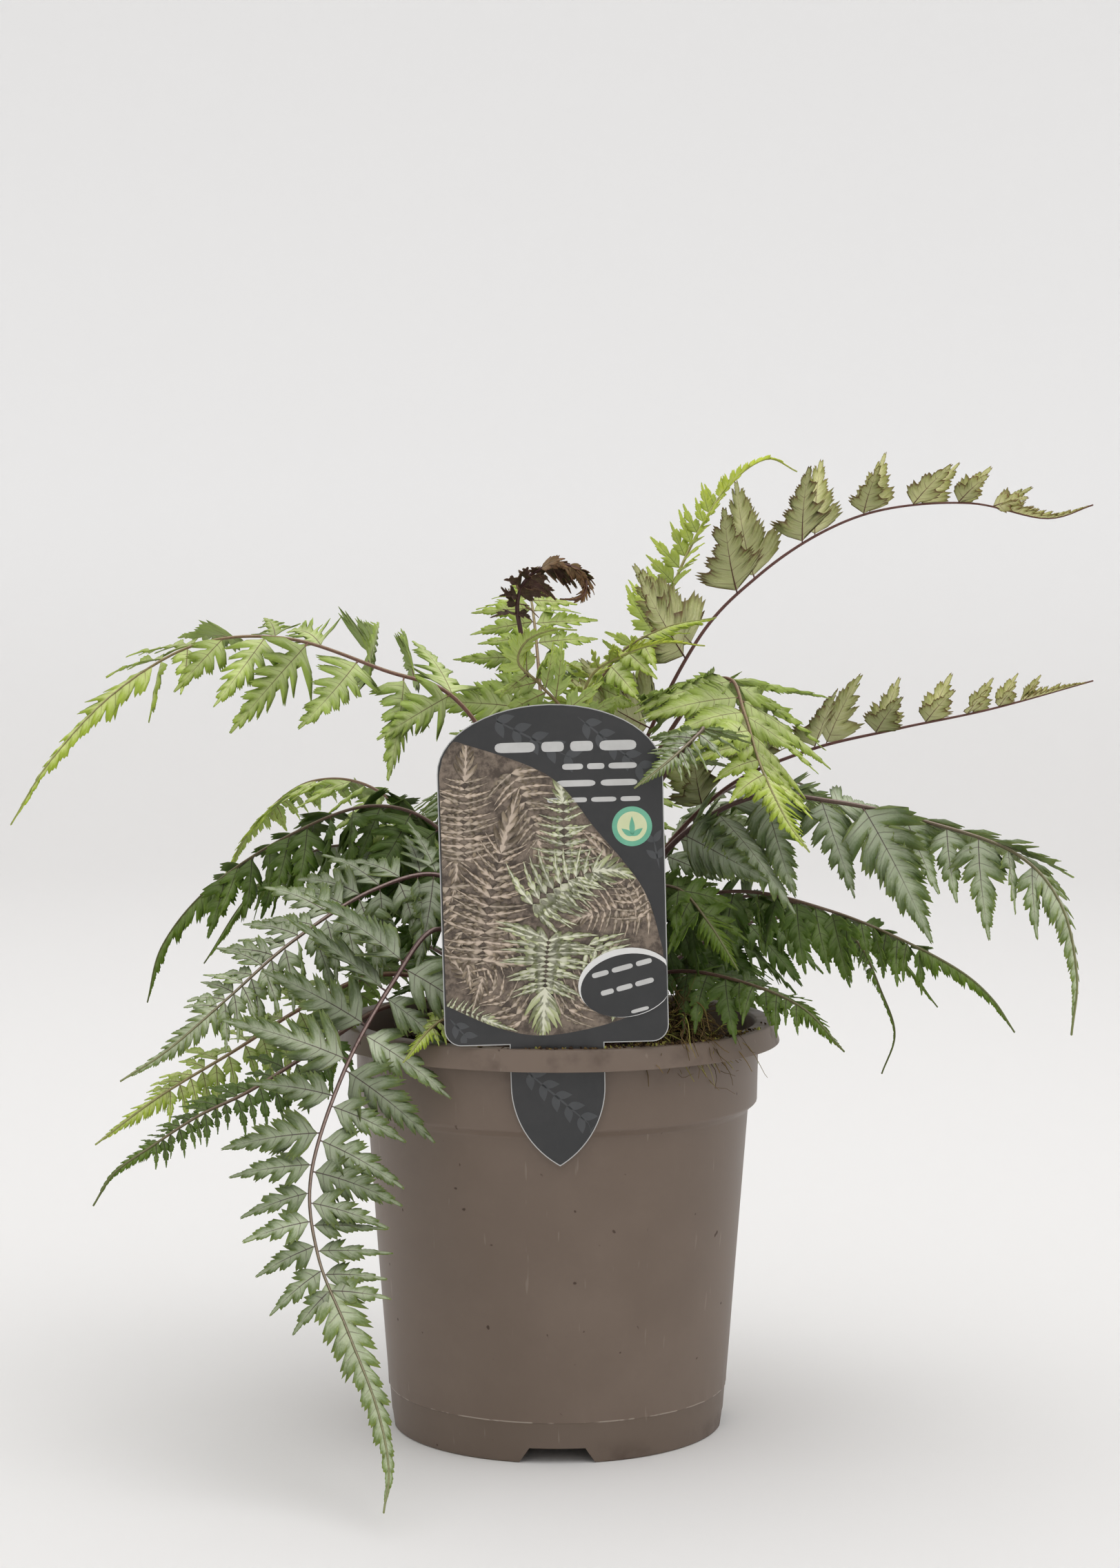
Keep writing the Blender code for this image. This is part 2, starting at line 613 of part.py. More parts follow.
def frond_frames(line, turn, roll):
    """Forward, side and upper directions at each point of a frond's line."""
    forward = unit(np.gradient(line, axis=0))
    heading = line[-1] - line[0]
    angle = math.atan2(heading[1], heading[0]) + math.radians(turn)
    side = np.array([-math.sin(angle), math.cos(angle), 0.0])
    side = unit(side - (forward @ side)[:, None] * forward)
    upper = np.cross(forward, side)
    lean = math.radians(roll)
    rolled = side * math.cos(lean) + upper * math.sin(lean)
    return forward, rolled, np.cross(forward, rolled)


def blade_width(share):
    """Half width of a blade, as a part of its widest, at a share of its length."""
    return min(1.0, 0.80 + 1.2 * share) * (1.0 - share) ** 0.80


def leaf_base(ring, angle):
    """Where a stipe stands on the crown."""
    direction = math.radians(angle)
    height = crown_top(ring - 2 * STIPE_RADIUS) + CLEARANCE
    return np.array([[ring * math.cos(direction),
                      ring * math.sin(direction) + CROWN_OFFSET_Y, height]])


def make_frond(row, material):
    """One frond: a stipe, then a flat blade whose edge is cut into pairs of pinnae."""
    name, ring, angle, route, blade_from, half_width, pairs, fold, turn, roll = row
    start = leaf_base(ring, angle)
    points = np.vstack([start, follow_pot(np.array(route, dtype=float) * MM)])
    line = smooth_route(points, 241)
    forward, side, upper = frond_frames(line, turn, roll)
    last = len(line) - 1

    shares = list(np.linspace(0.0, blade_from, STIPE_RINGS))
    widths = [0.0] * STIPE_RINGS
    for index in range(2 * pairs):
        share = (index + 1) / (2 * pairs + 1)
        wide = index % 2 == 0
        full = half_width * MM * blade_width(share)
        shares.append(blade_from + (1.0 - blade_from) * share)
        widths.append(full if wide else max(0.16 * full, RACHIS_RADIUS))
    shares.append(1.0)
    widths.append(TIP_RADIUS)

    droop = math.radians(fold)
    vertices = []
    for share, width in zip(shares, widths):
        at = int(round(share * last))
        centre = line[at]
        thick = STIPE_RADIUS + (RACHIS_RADIUS - STIPE_RADIUS) * min(1.0, share / blade_from)
        thick += (TIP_RADIUS - RACHIS_RADIUS) * max(0.0, (share - blade_from) / (1 - blade_from))
        reach = max(width, thick)
        lift = -reach * math.sin(droop) if width > thick else 0.0
        ahead = SWEEP * width if width > 2 * RACHIS_RADIUS else 0.0
        for sign in (1, -1):
            edge = (centre + side[at] * sign * reach * math.cos(droop) + upper[at] * lift
                    + forward[at] * ahead)
            vertices.append(edge)
            vertices.append(centre + upper[at] * sign * thick)
    faces = [(3, 2, 1, 0)]
    for index in range(len(shares) - 1):
        base = 4 * index
        for corner in range(4):
            following = (corner + 1) % 4
            faces.append((base + corner, base + following, base + 4 + following,
                          base + 4 + corner))
    tail = 4 * (len(shares) - 1)
    faces.append((tail, tail + 1, tail + 2, tail + 3))
    return add_object(name, mesh_from(name, vertices, faces), material)


def make_fronds():
    """All fronds, each in one of a few greens."""
    greens = [make_material("leaf_green_%d" % index, colour, 0.55)
              for index, colour in enumerate(FROND_GREENS)]
    for index, row in enumerate(FRONDS):
        make_frond(row, greens[index % len(greens)])


def main():
    """Build the potted fern."""
    clear_scene()
    make_pot(make_material("pot_plastic", POT_COLOUR, 0.5))
    make_compost(make_material("compost", SOIL_COLOUR, 0.95))
    make_crown(make_material("crown_scales", CROWN_COLOUR, 0.85))
    make_moss(make_material("moss", MOSS_COLOUR, 0.95))
    make_label(make_material("label_plastic", LABEL_COLOUR, 0.4))
    make_fronds()


main()
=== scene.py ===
"""Finishes of a potted lady fern: silver-flushed fronds, a moulded pot and a printed label.

Metres, +Z up.  The origin is on the pot's axis, on the surface that the pot stands on.
The label looks along -Y.  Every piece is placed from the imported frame's own boxes.
"""

import logging
import math
from collections.abc import Callable
from dataclasses import dataclass, field
from enum import Enum

import bpy
import numpy as np
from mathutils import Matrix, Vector


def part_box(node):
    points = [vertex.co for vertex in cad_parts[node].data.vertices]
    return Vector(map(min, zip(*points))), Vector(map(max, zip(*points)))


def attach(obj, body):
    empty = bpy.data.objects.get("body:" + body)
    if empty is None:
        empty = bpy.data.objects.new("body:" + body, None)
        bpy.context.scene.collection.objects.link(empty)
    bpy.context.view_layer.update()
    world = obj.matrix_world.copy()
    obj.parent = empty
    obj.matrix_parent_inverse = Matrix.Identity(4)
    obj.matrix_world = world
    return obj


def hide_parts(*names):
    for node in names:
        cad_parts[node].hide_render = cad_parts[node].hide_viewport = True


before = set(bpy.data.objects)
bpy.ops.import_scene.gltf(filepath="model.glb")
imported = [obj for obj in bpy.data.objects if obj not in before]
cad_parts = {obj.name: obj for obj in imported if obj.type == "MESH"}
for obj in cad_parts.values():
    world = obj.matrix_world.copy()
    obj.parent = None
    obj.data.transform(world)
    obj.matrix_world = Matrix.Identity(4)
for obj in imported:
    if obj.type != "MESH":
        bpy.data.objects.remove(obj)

LOG = logging.getLogger("potted_fern")
MM = 0.001
UP = np.array([0.0, 0.0, 1.0])

Colour = tuple[float, float, float, float]


def tint(red: int, green: int, blue: int) -> Colour:
    """Turn a display colour, 0 to 255, into a linear one.

    Args:
        red: Red part.
        green: Green part.
        blue: Blue part.

    Returns:
        The linear colour with full alpha: ((c + 0.055) / 1.055) to the power 2.4.
    """
    parts = [((value / 255.0 + 0.055) / 1.055) ** 2.4 for value in (red, green, blue)]
    return (parts[0], parts[1], parts[2], 1.0)


def unit(vectors: np.ndarray) -> np.ndarray:
    """Scale vectors to length one."""
    return vectors / np.maximum(np.linalg.norm(vectors, axis=-1, keepdims=True), 1e-12)


def heading(angle: float) -> np.ndarray:
    """Give the level direction at an angle, in radians, round the upright axis."""
    return np.array([math.cos(angle), math.sin(angle), 0.0])


def blend(first: np.ndarray | float, last: np.ndarray | float,
          share: np.ndarray | float) -> np.ndarray:
    """Go from a first value to a last one by a share from 0 to 1."""
    return first + (last - first) * np.clip(share, 0.0, 1.0)


# ------------------------------------------------------------------ lines and shells
@dataclass(frozen=True)
class Rail:
    """A line in space, with forward, side and upper directions at each of its points."""

    points: np.ndarray
    forward: np.ndarray
    side: np.ndarray
    upper: np.ndarray

    @classmethod
    def along(cls, points: np.ndarray, side: np.ndarray, roll: float = 0.0) -> "Rail":
        """Carry a side direction along a line, made square to it at every point.

        Args:
            points: The line's points.
            side: The wanted side direction, one vector or one for each point.
            roll: Turn of side and upper about the line, in degrees.

        Returns:
            The rail.
        """
        forward = unit(np.gradient(points, axis=0))
        across = np.broadcast_to(side, points.shape)
        across = unit(across - np.sum(across * forward, axis=1, keepdims=True) * forward)
        upper = np.cross(forward, across)
        turn = math.radians(roll)
        rolled = across * math.cos(turn) + upper * math.sin(turn)
        return cls(points, forward, rolled, np.cross(forward, rolled))

    def at(self, shares: np.ndarray) -> "Rail":
        """Take the rail's values at shares of its length, by linear interpolation.

        Args:
            shares: Places from 0 to 1.

        Returns:
            A rail with one point for each share.
        """
        place = np.linspace(0.0, 1.0, len(self.points))

        def read(values: np.ndarray) -> np.ndarray:
            """Interpolate each of the three coordinates."""
            return np.stack([np.interp(shares, place, values[:, axis]) for axis in range(3)],
                            axis=1)

        return Rail(read(self.points), unit(read(self.forward)), unit(read(self.side)),
                    unit(read(self.upper)))

    def length(self) -> float:
        """Measure the line."""
        return float(np.linalg.norm(np.diff(self.points, axis=0), axis=1).sum())


def smooth_route(points: np.ndarray, count: int) -> np.ndarray:
    """Space points evenly on a Catmull-Rom curve through the given ones.

    Between two points b and c with neighbours a and d, the curve is half of
    2b + (c - a)t + (2a - 5b + 4c - d)t^2 + (3b - a - 3c + d)t^3 for t from 0 to 1.

    Args:
        points: The points to pass through.
        count: How many points to give back.

    Returns:
        The evenly spaced points.
    """
    padded = np.vstack([2 * points[0] - points[1], points, 2 * points[-1] - points[-2]])
    a, b, c, d = (padded[i:len(padded) - 3 + i, None, :] for i in range(4))
    t = np.linspace(0, 1, 24, endpoint=False)[None, :, None]
    fine = 0.5 * (2 * b + (c - a) * t + (2 * a - 5 * b + 4 * c - d) * t ** 2
                  + (3 * b - a - 3 * c + d) * t ** 3)
    fine = np.vstack([fine.reshape(-1, 3), points[-1:]])
    along = np.concatenate([[0.0], np.cumsum(np.linalg.norm(np.diff(fine, axis=0), axis=1))])
    wanted = np.linspace(0, along[-1], count)
    return np.stack([np.interp(wanted, along, fine[:, axis]) for axis in range(3)], axis=1)


def grid_faces(rows: int, columns: int, wrap: bool = False) -> np.ndarray:
    """Join a grid of points, stored row by row, into quads.

    Args:
        rows: Points along the first direction.
        columns: Points along the second direction.
        wrap: Close the second direction round to its start.

    Returns:
        Quads whose normal is the first direction crossed with the second.
    """
    i = np.arange(rows - 1)[:, None]
    j = np.arange(columns if wrap else columns - 1)[None, :]
    after = (j + 1) % columns
    corners = (i * columns + j, (i + 1) * columns + j, (i + 1) * columns + after,
               i * columns + after)
    return np.stack([np.broadcast_to(c, (rows - 1, j.shape[1])) for c in corners],
                    axis=-1).reshape(-1, 4)


def stand_in(item: bpy.types.Object, node: str, finish: str) -> None:
    """Let a piece ride on the body and stand in for a plain solid, which it hides."""
    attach(item, "root")
    if node:
        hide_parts(node)


@dataclass
class Shell:
    """One mesh gathered from closed bodies, with four marks and a material slot each."""

    points: list[np.ndarray] = field(default_factory=list)
    faces: list[np.ndarray] = field(default_factory=list)
    slots: list[np.ndarray] = field(default_factory=list)
    smooth: list[np.ndarray] = field(default_factory=list)
    place: list[np.ndarray] = field(default_factory=list)
    span: list[np.ndarray] = field(default_factory=list)
    count: int = 0

    def add_points(self, points: np.ndarray, place: np.ndarray | None = None,
                   span: np.ndarray | None = None) -> int:
        """Add points with their marks.

        Args:
            points: The points, n by 3.
            place: Four marks for each point, read by the materials, or none.
            span: Four more marks for each point, or none.

        Returns:
            The index of the first of them.
        """
        first = self.count
        blank = np.zeros((len(points), 4))
        self.points.append(points)
        self.place.append(blank if place is None else np.broadcast_to(place, blank.shape))
        self.span.append(blank if span is None else np.broadcast_to(span, blank.shape))
        self.count += len(points)
        return first

    def add_faces(self, faces: np.ndarray, slot: int = 0, smooth: bool = True) -> None:
        """Add triangles or quads that share a material slot and a shading."""
        self.faces.append(faces)
        self.slots.append(np.full(len(faces), slot))
        self.smooth.append(np.full(len(faces), smooth))

    def add_fan(self, pole: int, ring: np.ndarray, slot: int = 0,
                flip: bool = False) -> None:
        """Join a pole to a closed ring of points, in the ring's order or against it."""
        corners = [np.full(len(ring), pole), ring, np.roll(ring, -1)]
        if flip:
            corners[1:] = corners[:0:-1]
        self.add_faces(np.stack(corners, axis=1), slot)

    def add_sheet(self, grid: np.ndarray, thickness: float, upper: np.ndarray,
                  place: np.ndarray | None = None, span: np.ndarray | None = None,
                  slots: tuple[int, int] = (0, 1), smooth: bool = True) -> None:
        """Add a thin closed sheet: a grid, its copy a thickness below, and the rim between.

        The lower grid is the upper one less the unit normal times the thickness, where
        the normal is the cross product of the grid's two directions.

        Args:
            grid: Points of the upper side, rows by columns by 3.
            thickness: Depth of the sheet.
            upper: The direction that the upper side looks along.
            place: Marks of the grid's points, rows by columns by 4.
            span: More marks of the same shape.
            slots: Material slots of the upper and the lower side.
            smooth: Whether the sides are shaded smooth.
        """
        rows, columns = grid.shape[:2]
        normal = unit(np.cross(np.gradient(grid, axis=0), np.gradient(grid, axis=1)))
        flip = float(np.sum(normal.mean(axis=(0, 1)) * upper)) < 0.0
        if flip:
            normal = -normal
        both = np.concatenate([grid.reshape(-1, 3), (grid - normal * thickness).reshape(-1, 3)])
        marks = [None if m is None else np.tile(m.reshape(-1, 4), (2, 1)) for m in (place, span)]
        first = self.add_points(both, *marks)
        top = grid_faces(rows, columns)
        below = rows * columns
        index = np.arange(below).reshape(rows, columns)
        loop = np.concatenate([index[:-1, 0], index[-1, :-1], index[:0:-1, -1], index[0, :0:-1]])
        after = np.roll(loop, -1)
        rim = np.stack([loop, loop + below, after + below, after], axis=1)
        if flip:
            top, rim = top[:, ::-1], rim[:, ::-1]
        self.add_faces(first + top, slots[0], smooth)
        self.add_faces(first + below + top[:, ::-1], slots[1], smooth)
        self.add_faces(first + rim, slots[0], smooth=False)

    def add_tube(self, rail: Rail, radii: np.ndarray, sides: int, groove: float = 0.0,
                 place: np.ndarray | None = None, slot: int = 0) -> None:
        """Add a round tube along a rail, closed by a point at either end.

        Each ring is the rail's point plus radius times (cos a * side + sin a * upper);
        a groove takes groove * exp(-((a - 90 degrees) / 32 degrees)^2) off the radius.

        Args:
            rail: The line to follow.
            radii: The radius at each of its points.
            sides: Points in each ring.
            groove: Depth of the groove along the upper side, as a part of the radius.
            place: Marks for each of the rail's points, n by 4, or none.
            slot: The material slot.
        """
        angle = np.arange(sides) * 2 * math.pi / sides
        notch = 1.0 - groove * np.exp(-((angle - math.pi / 2) / math.radians(32)) ** 2)
        size = radii[:, None] * notch[None, :]
        rings = (rail.points[:, None, :]
                 + (size * np.cos(angle))[..., None] * rail.side[:, None, :]
                 + (size * np.sin(angle))[..., None] * rail.upper[:, None, :])
        rows = len(rail.points)
        marks = np.zeros((rows, sides, 4))
        if place is not None:
            marks[:] = place[:, None, :]
        marks[..., 0] = np.abs(((angle / math.pi - 0.5 + 1.0) % 2.0) - 1.0)[None, :]
        ends = np.stack([rail.points[0] - rail.forward[0] * radii[0] * 0.5,
                         rail.points[-1] + rail.forward[-1] * radii[-1] * 0.5])
        first = self.add_points(np.concatenate([rings.reshape(-1, 3), ends]),
                                np.concatenate([marks.reshape(-1, 4), marks[[0, -1], 0]]))
        self.add_faces(first + grid_faces(rows, sides, wrap=True)[:, ::-1], slot)
        ring, pole = first + np.arange(sides), first + rows * sides
        self.add_fan(pole, ring, slot, flip=True)
        self.add_fan(pole + 1, ring + (rows - 1) * sides, slot)

    def build(self, name: str, materials: list[bpy.types.Material], node: str = "",
              finish: str = "") -> bpy.types.Object:
        """Make the object, at the origin, with its marks as attributes.

        Args:
            name: The object's name.
            materials: One material for each slot.
            node: The plain solid that it stands for, or none.
            finish: The name of its finish in the part's record, or none; not used.

        Returns:
            The new object, riding on the root body.
        """
        mesh = bpy.data.meshes.new(name)
        points = np.concatenate(self.points)
        sizes = np.concatenate([np.full(len(f), f.shape[1]) for f in self.faces])
        corners = np.concatenate([f.reshape(-1) for f in self.faces])
        mesh.vertices.add(len(points))
        mesh.vertices.foreach_set("co", points.astype(np.float32).ravel())
        mesh.loops.add(len(corners))
        mesh.loops.foreach_set("vertex_index", corners.astype(np.int32))
        mesh.polygons.add(len(sizes))
        starts = np.concatenate([[0], np.cumsum(sizes)[:-1]])
        mesh.polygons.foreach_set("loop_start", starts.astype(np.int32))
        mesh.update(calc_edges=True)
        for material in materials:
            mesh.materials.append(material)
        slots = np.concatenate(self.slots)
        mesh.polygons.foreach_set("material_index", slots.astype(np.int32))
        smooth = np.concatenate(self.smooth)
        mesh.polygons.foreach_set("use_smooth", smooth)
        for label, values in (("place", self.place), ("span", self.span)):
            layer = mesh.attributes.new(label, "FLOAT_COLOR", "POINT")
            layer.data.foreach_set("color", np.concatenate(values).astype(np.float32).ravel())
        mesh.validate()
        mesh.update()
        item = bpy.data.objects.new(name, mesh)
        bpy.context.scene.collection.objects.link(item)
        stand_in(item, node, finish)
        return item


# ------------------------------------------------------------------ node building
Socket = bpy.types.NodeSocket
Value = Socket | float | tuple


class Wiring:
    """Short ways to place and join shader nodes in one tree."""

    def __init__(self, tree: bpy.types.NodeTree) -> None:
        """Keep the tree that nodes are placed in."""
        self.tree = tree

    def node(self, kind: str, **values: object) -> bpy.types.Node:
        """Place a node and set its properties."""
        made = self.tree.nodes.new(kind)
        for key, value in values.items():
            setattr(made, key, value)
        return made

    def join(self, value: Value, socket: Socket) -> None:
        """Link a socket to another, or set it to a plain value."""
        if isinstance(value, bpy.types.NodeSocket):
            self.tree.links.new(value, socket)
        else:
            socket.default_value = value

    def math(self, operation: str, first: Value, second: Value = 0.0,
             third: Value = 0.0) -> Socket:
        """Place a Math node and give its output."""
        made = self.node("ShaderNodeMath", operation=operation)
        for socket, value in zip(made.inputs, (first, second, third)):
            self.join(value, socket)
        return made.outputs[0]

    def times(self, first: Value, second: Value) -> Socket:
        """Multiply two values."""
        return self.math("MULTIPLY", first, second)

    def plus(self, first: Value, second: Value) -> Socket:
        """Add two values."""
        return self.math("ADD", first, second)

    def less(self, first: Value, second: Value) -> Socket:
        """Take the second value from the first."""
        return self.math("SUBTRACT", first, second)

    def ramp(self, value: Value, low: float, high: float, start: float = 0.0,
             end: float = 1.0) -> Socket:
        """Map a range smoothly onto another, clamped."""
        made = self.node("ShaderNodeMapRange", interpolation_type="SMOOTHSTEP")
        for socket, number in zip(made.inputs, (value, low, high, start, end)):
            self.join(number, socket)
        return made.outputs[0]

    def mix(self, share: Value, first: Value, second: Value) -> Socket:
        """Mix two colours by a share and give the result."""
        made = self.node("ShaderNodeMix", data_type="RGBA")
        for socket, value in zip((0, 6, 7), (share, first, second)):
            self.join(value, made.inputs[socket])
        return made.outputs[2]

    def coordinates(self) -> Socket:
        """Give the object's own coordinates, in metres."""
        return self.node("ShaderNodeTexCoord").outputs["Object"]

    def noise(self, where: Value, scale: Value, detail: float = 3.0,
              roughness: float = 0.55) -> Socket:
        """Place a noise texture and give its value, 0 to 1."""
        made = self.node("ShaderNodeTexNoise")
        for label, value in (("Vector", where), ("Scale", scale), ("Detail", detail),
                             ("Roughness", roughness)):
            self.join(value, made.inputs[label])
        return made.outputs[0]

    def stretched(self, where: Value, scale: tuple[float, float, float]) -> Socket:
        """Scale coordinates by a different factor along each axis."""
        made = self.node("ShaderNodeMapping")
        self.join(where, made.inputs["Vector"])
        made.inputs["Scale"].default_value = scale
        return made.outputs[0]

    def attribute(self, name: str) -> tuple[Socket, Socket, Socket, Socket]:
        """Read the four parts of a mark: three from its colour and its alpha."""
        made = self.node("ShaderNodeAttribute", attribute_name=name)
        parts = self.node("ShaderNodeSeparateColor")
        self.join(made.outputs["Color"], parts.inputs[0])
        return (*parts.outputs, made.outputs["Alpha"])

    def bump(self, height: Value, strength: float, distance: float) -> Socket:
        """Turn a height into a normal."""
        made = self.node("ShaderNodeBump")
        made.inputs["Strength"].default_value = strength
        made.inputs["Distance"].default_value = distance
        self.join(height, made.inputs["Height"])
        return made.outputs[0]


class Effect:
    """A shader node group with named inputs and outputs, built once."""

    def __init__(self, name: str, inputs: dict[str, float | Colour],
                 outputs: tuple[str, ...]) -> None:
        """Make the group's sockets.

        Args:
            name: The group's name.
            inputs: Each input's name and its value when nothing is joined to it.
            outputs: The outputs' names; one that ends in "colour" is a colour.
        """
        self.group = bpy.data.node_groups.new(name, "ShaderNodeTree")
        self.wiring = Wiring(self.group)
        for label, value in inputs.items():
            kind = "NodeSocketColor" if isinstance(value, tuple) else "NodeSocketFloat"
            made = self.group.interface.new_socket(label, in_out="INPUT", socket_type=kind)
            made.default_value = value
        for label in outputs:
            kind = "NodeSocketColor" if label.endswith("colour") else "NodeSocketFloat"
            self.group.interface.new_socket(label, in_out="OUTPUT", socket_type=kind)
        self.given = self.wiring.node("NodeGroupInput").outputs
        self.results = self.wiring.node("NodeGroupOutput").inputs

    def use(self, wiring: Wiring, **values: Value) -> bpy.types.bpy_prop_collection:
        """Place the group in a material with its own values and give its outputs."""
        made = wiring.node("ShaderNodeGroup")
        made.node_tree = self.group
        for label, value in values.items():
            wiring.join(value, made.inputs[label])
        return made.outputs


def new_material(name: str, roughness: float = 0.5,
                 specular: float = 0.5) -> tuple[bpy.types.Material, Wiring, dict]:
    """Start a material.

    Args:
        name: The material's name.
        roughness: The shader's own roughness.
        specular: The shader's own specular level.

    Returns:
        The material, the wiring of its tree and the Principled shader's inputs.
    """
    material = bpy.data.materials.new(name)
    material.use_nodes = True
    shader = material.node_tree.nodes["Principled BSDF"]
    shader.inputs["Roughness"].default_value = roughness
    shader.inputs["Specular IOR Level"].default_value = specular
    return material, Wiring(material.node_tree), shader.inputs


# ------------------------------------------------------------------ leaf finishes
class Tone(Enum):
    """The greens that the clump's fronds come in, by their age; the deep green is also darkened
    as painted shade for fronds low in the clump and at its back.
    """

    SILVER = "silver"
    FRESH = "fresh"
    PALE = "pale"
    LIME = "lime"
    DEEP_SHADED = "deep_shaded"
    BUD = "bud"


@dataclass(frozen=True)
class LeafFinish:
    """One green: its colours and how far the silver flush spreads from the veins."""

    slot: str
    blade: Colour
    flush: Colour
    margin: Colour
    vein: Colour
    under: Colour
    rachis: Colour
    groove: Colour
    spread: float
    strength: float
    roughness: float = 0.55
    under_flush: float = 0.25


FINISHES = {
    Tone.SILVER: LeafFinish("frond_silver", tint(102, 120, 74), tint(188, 196, 172),
                            tint(136, 150, 86), tint(76, 52, 58), tint(132, 146, 94),
                            tint(86, 60, 58), tint(180, 156, 150), 0.84, 0.82),
    Tone.FRESH: LeafFinish("frond_fresh", tint(152, 174, 84), tint(208, 218, 162),
                           tint(160, 178, 92), tint(116, 100, 70), tint(160, 178, 110),
                           tint(124, 86, 76), tint(178, 154, 122), 0.80, 0.66),
    Tone.PALE: LeafFinish("frond_fresh", tint(144, 148, 84), tint(216, 216, 170),
                          tint(106, 70, 56), tint(120, 92, 74), tint(152, 154, 98),
                          tint(100, 62, 58), tint(148, 110, 98), 0.95, 0.85, 0.6, 0.9),
    Tone.LIME: LeafFinish("frond_lime", tint(174, 190, 96), tint(200, 212, 140),
                          tint(186, 200, 100), tint(134, 148, 78), tint(184, 198, 110),
                          tint(156, 138, 98), tint(188, 184, 128), 0.60, 0.50),
    # An old frond's dark green, made darker still as painted shade for the fronds that hang low
    # in the clump and at its back.
    Tone.DEEP_SHADED: LeafFinish("frond_deep", tint(78, 100, 44), tint(122, 138, 94),
                          tint(98, 120, 52), tint(58, 50, 42), tint(92, 110, 54),
                          tint(88, 60, 54), tint(142, 118, 104), 0.70, 0.60),
    Tone.BUD: LeafFinish("frond_bud", tint(132, 108, 80), tint(164, 146, 112),
                         tint(96, 66, 58), tint(58, 36, 38), tint(80, 60, 52),
                         tint(74, 44, 42), tint(108, 76, 66), 0.5, 0.5),
}


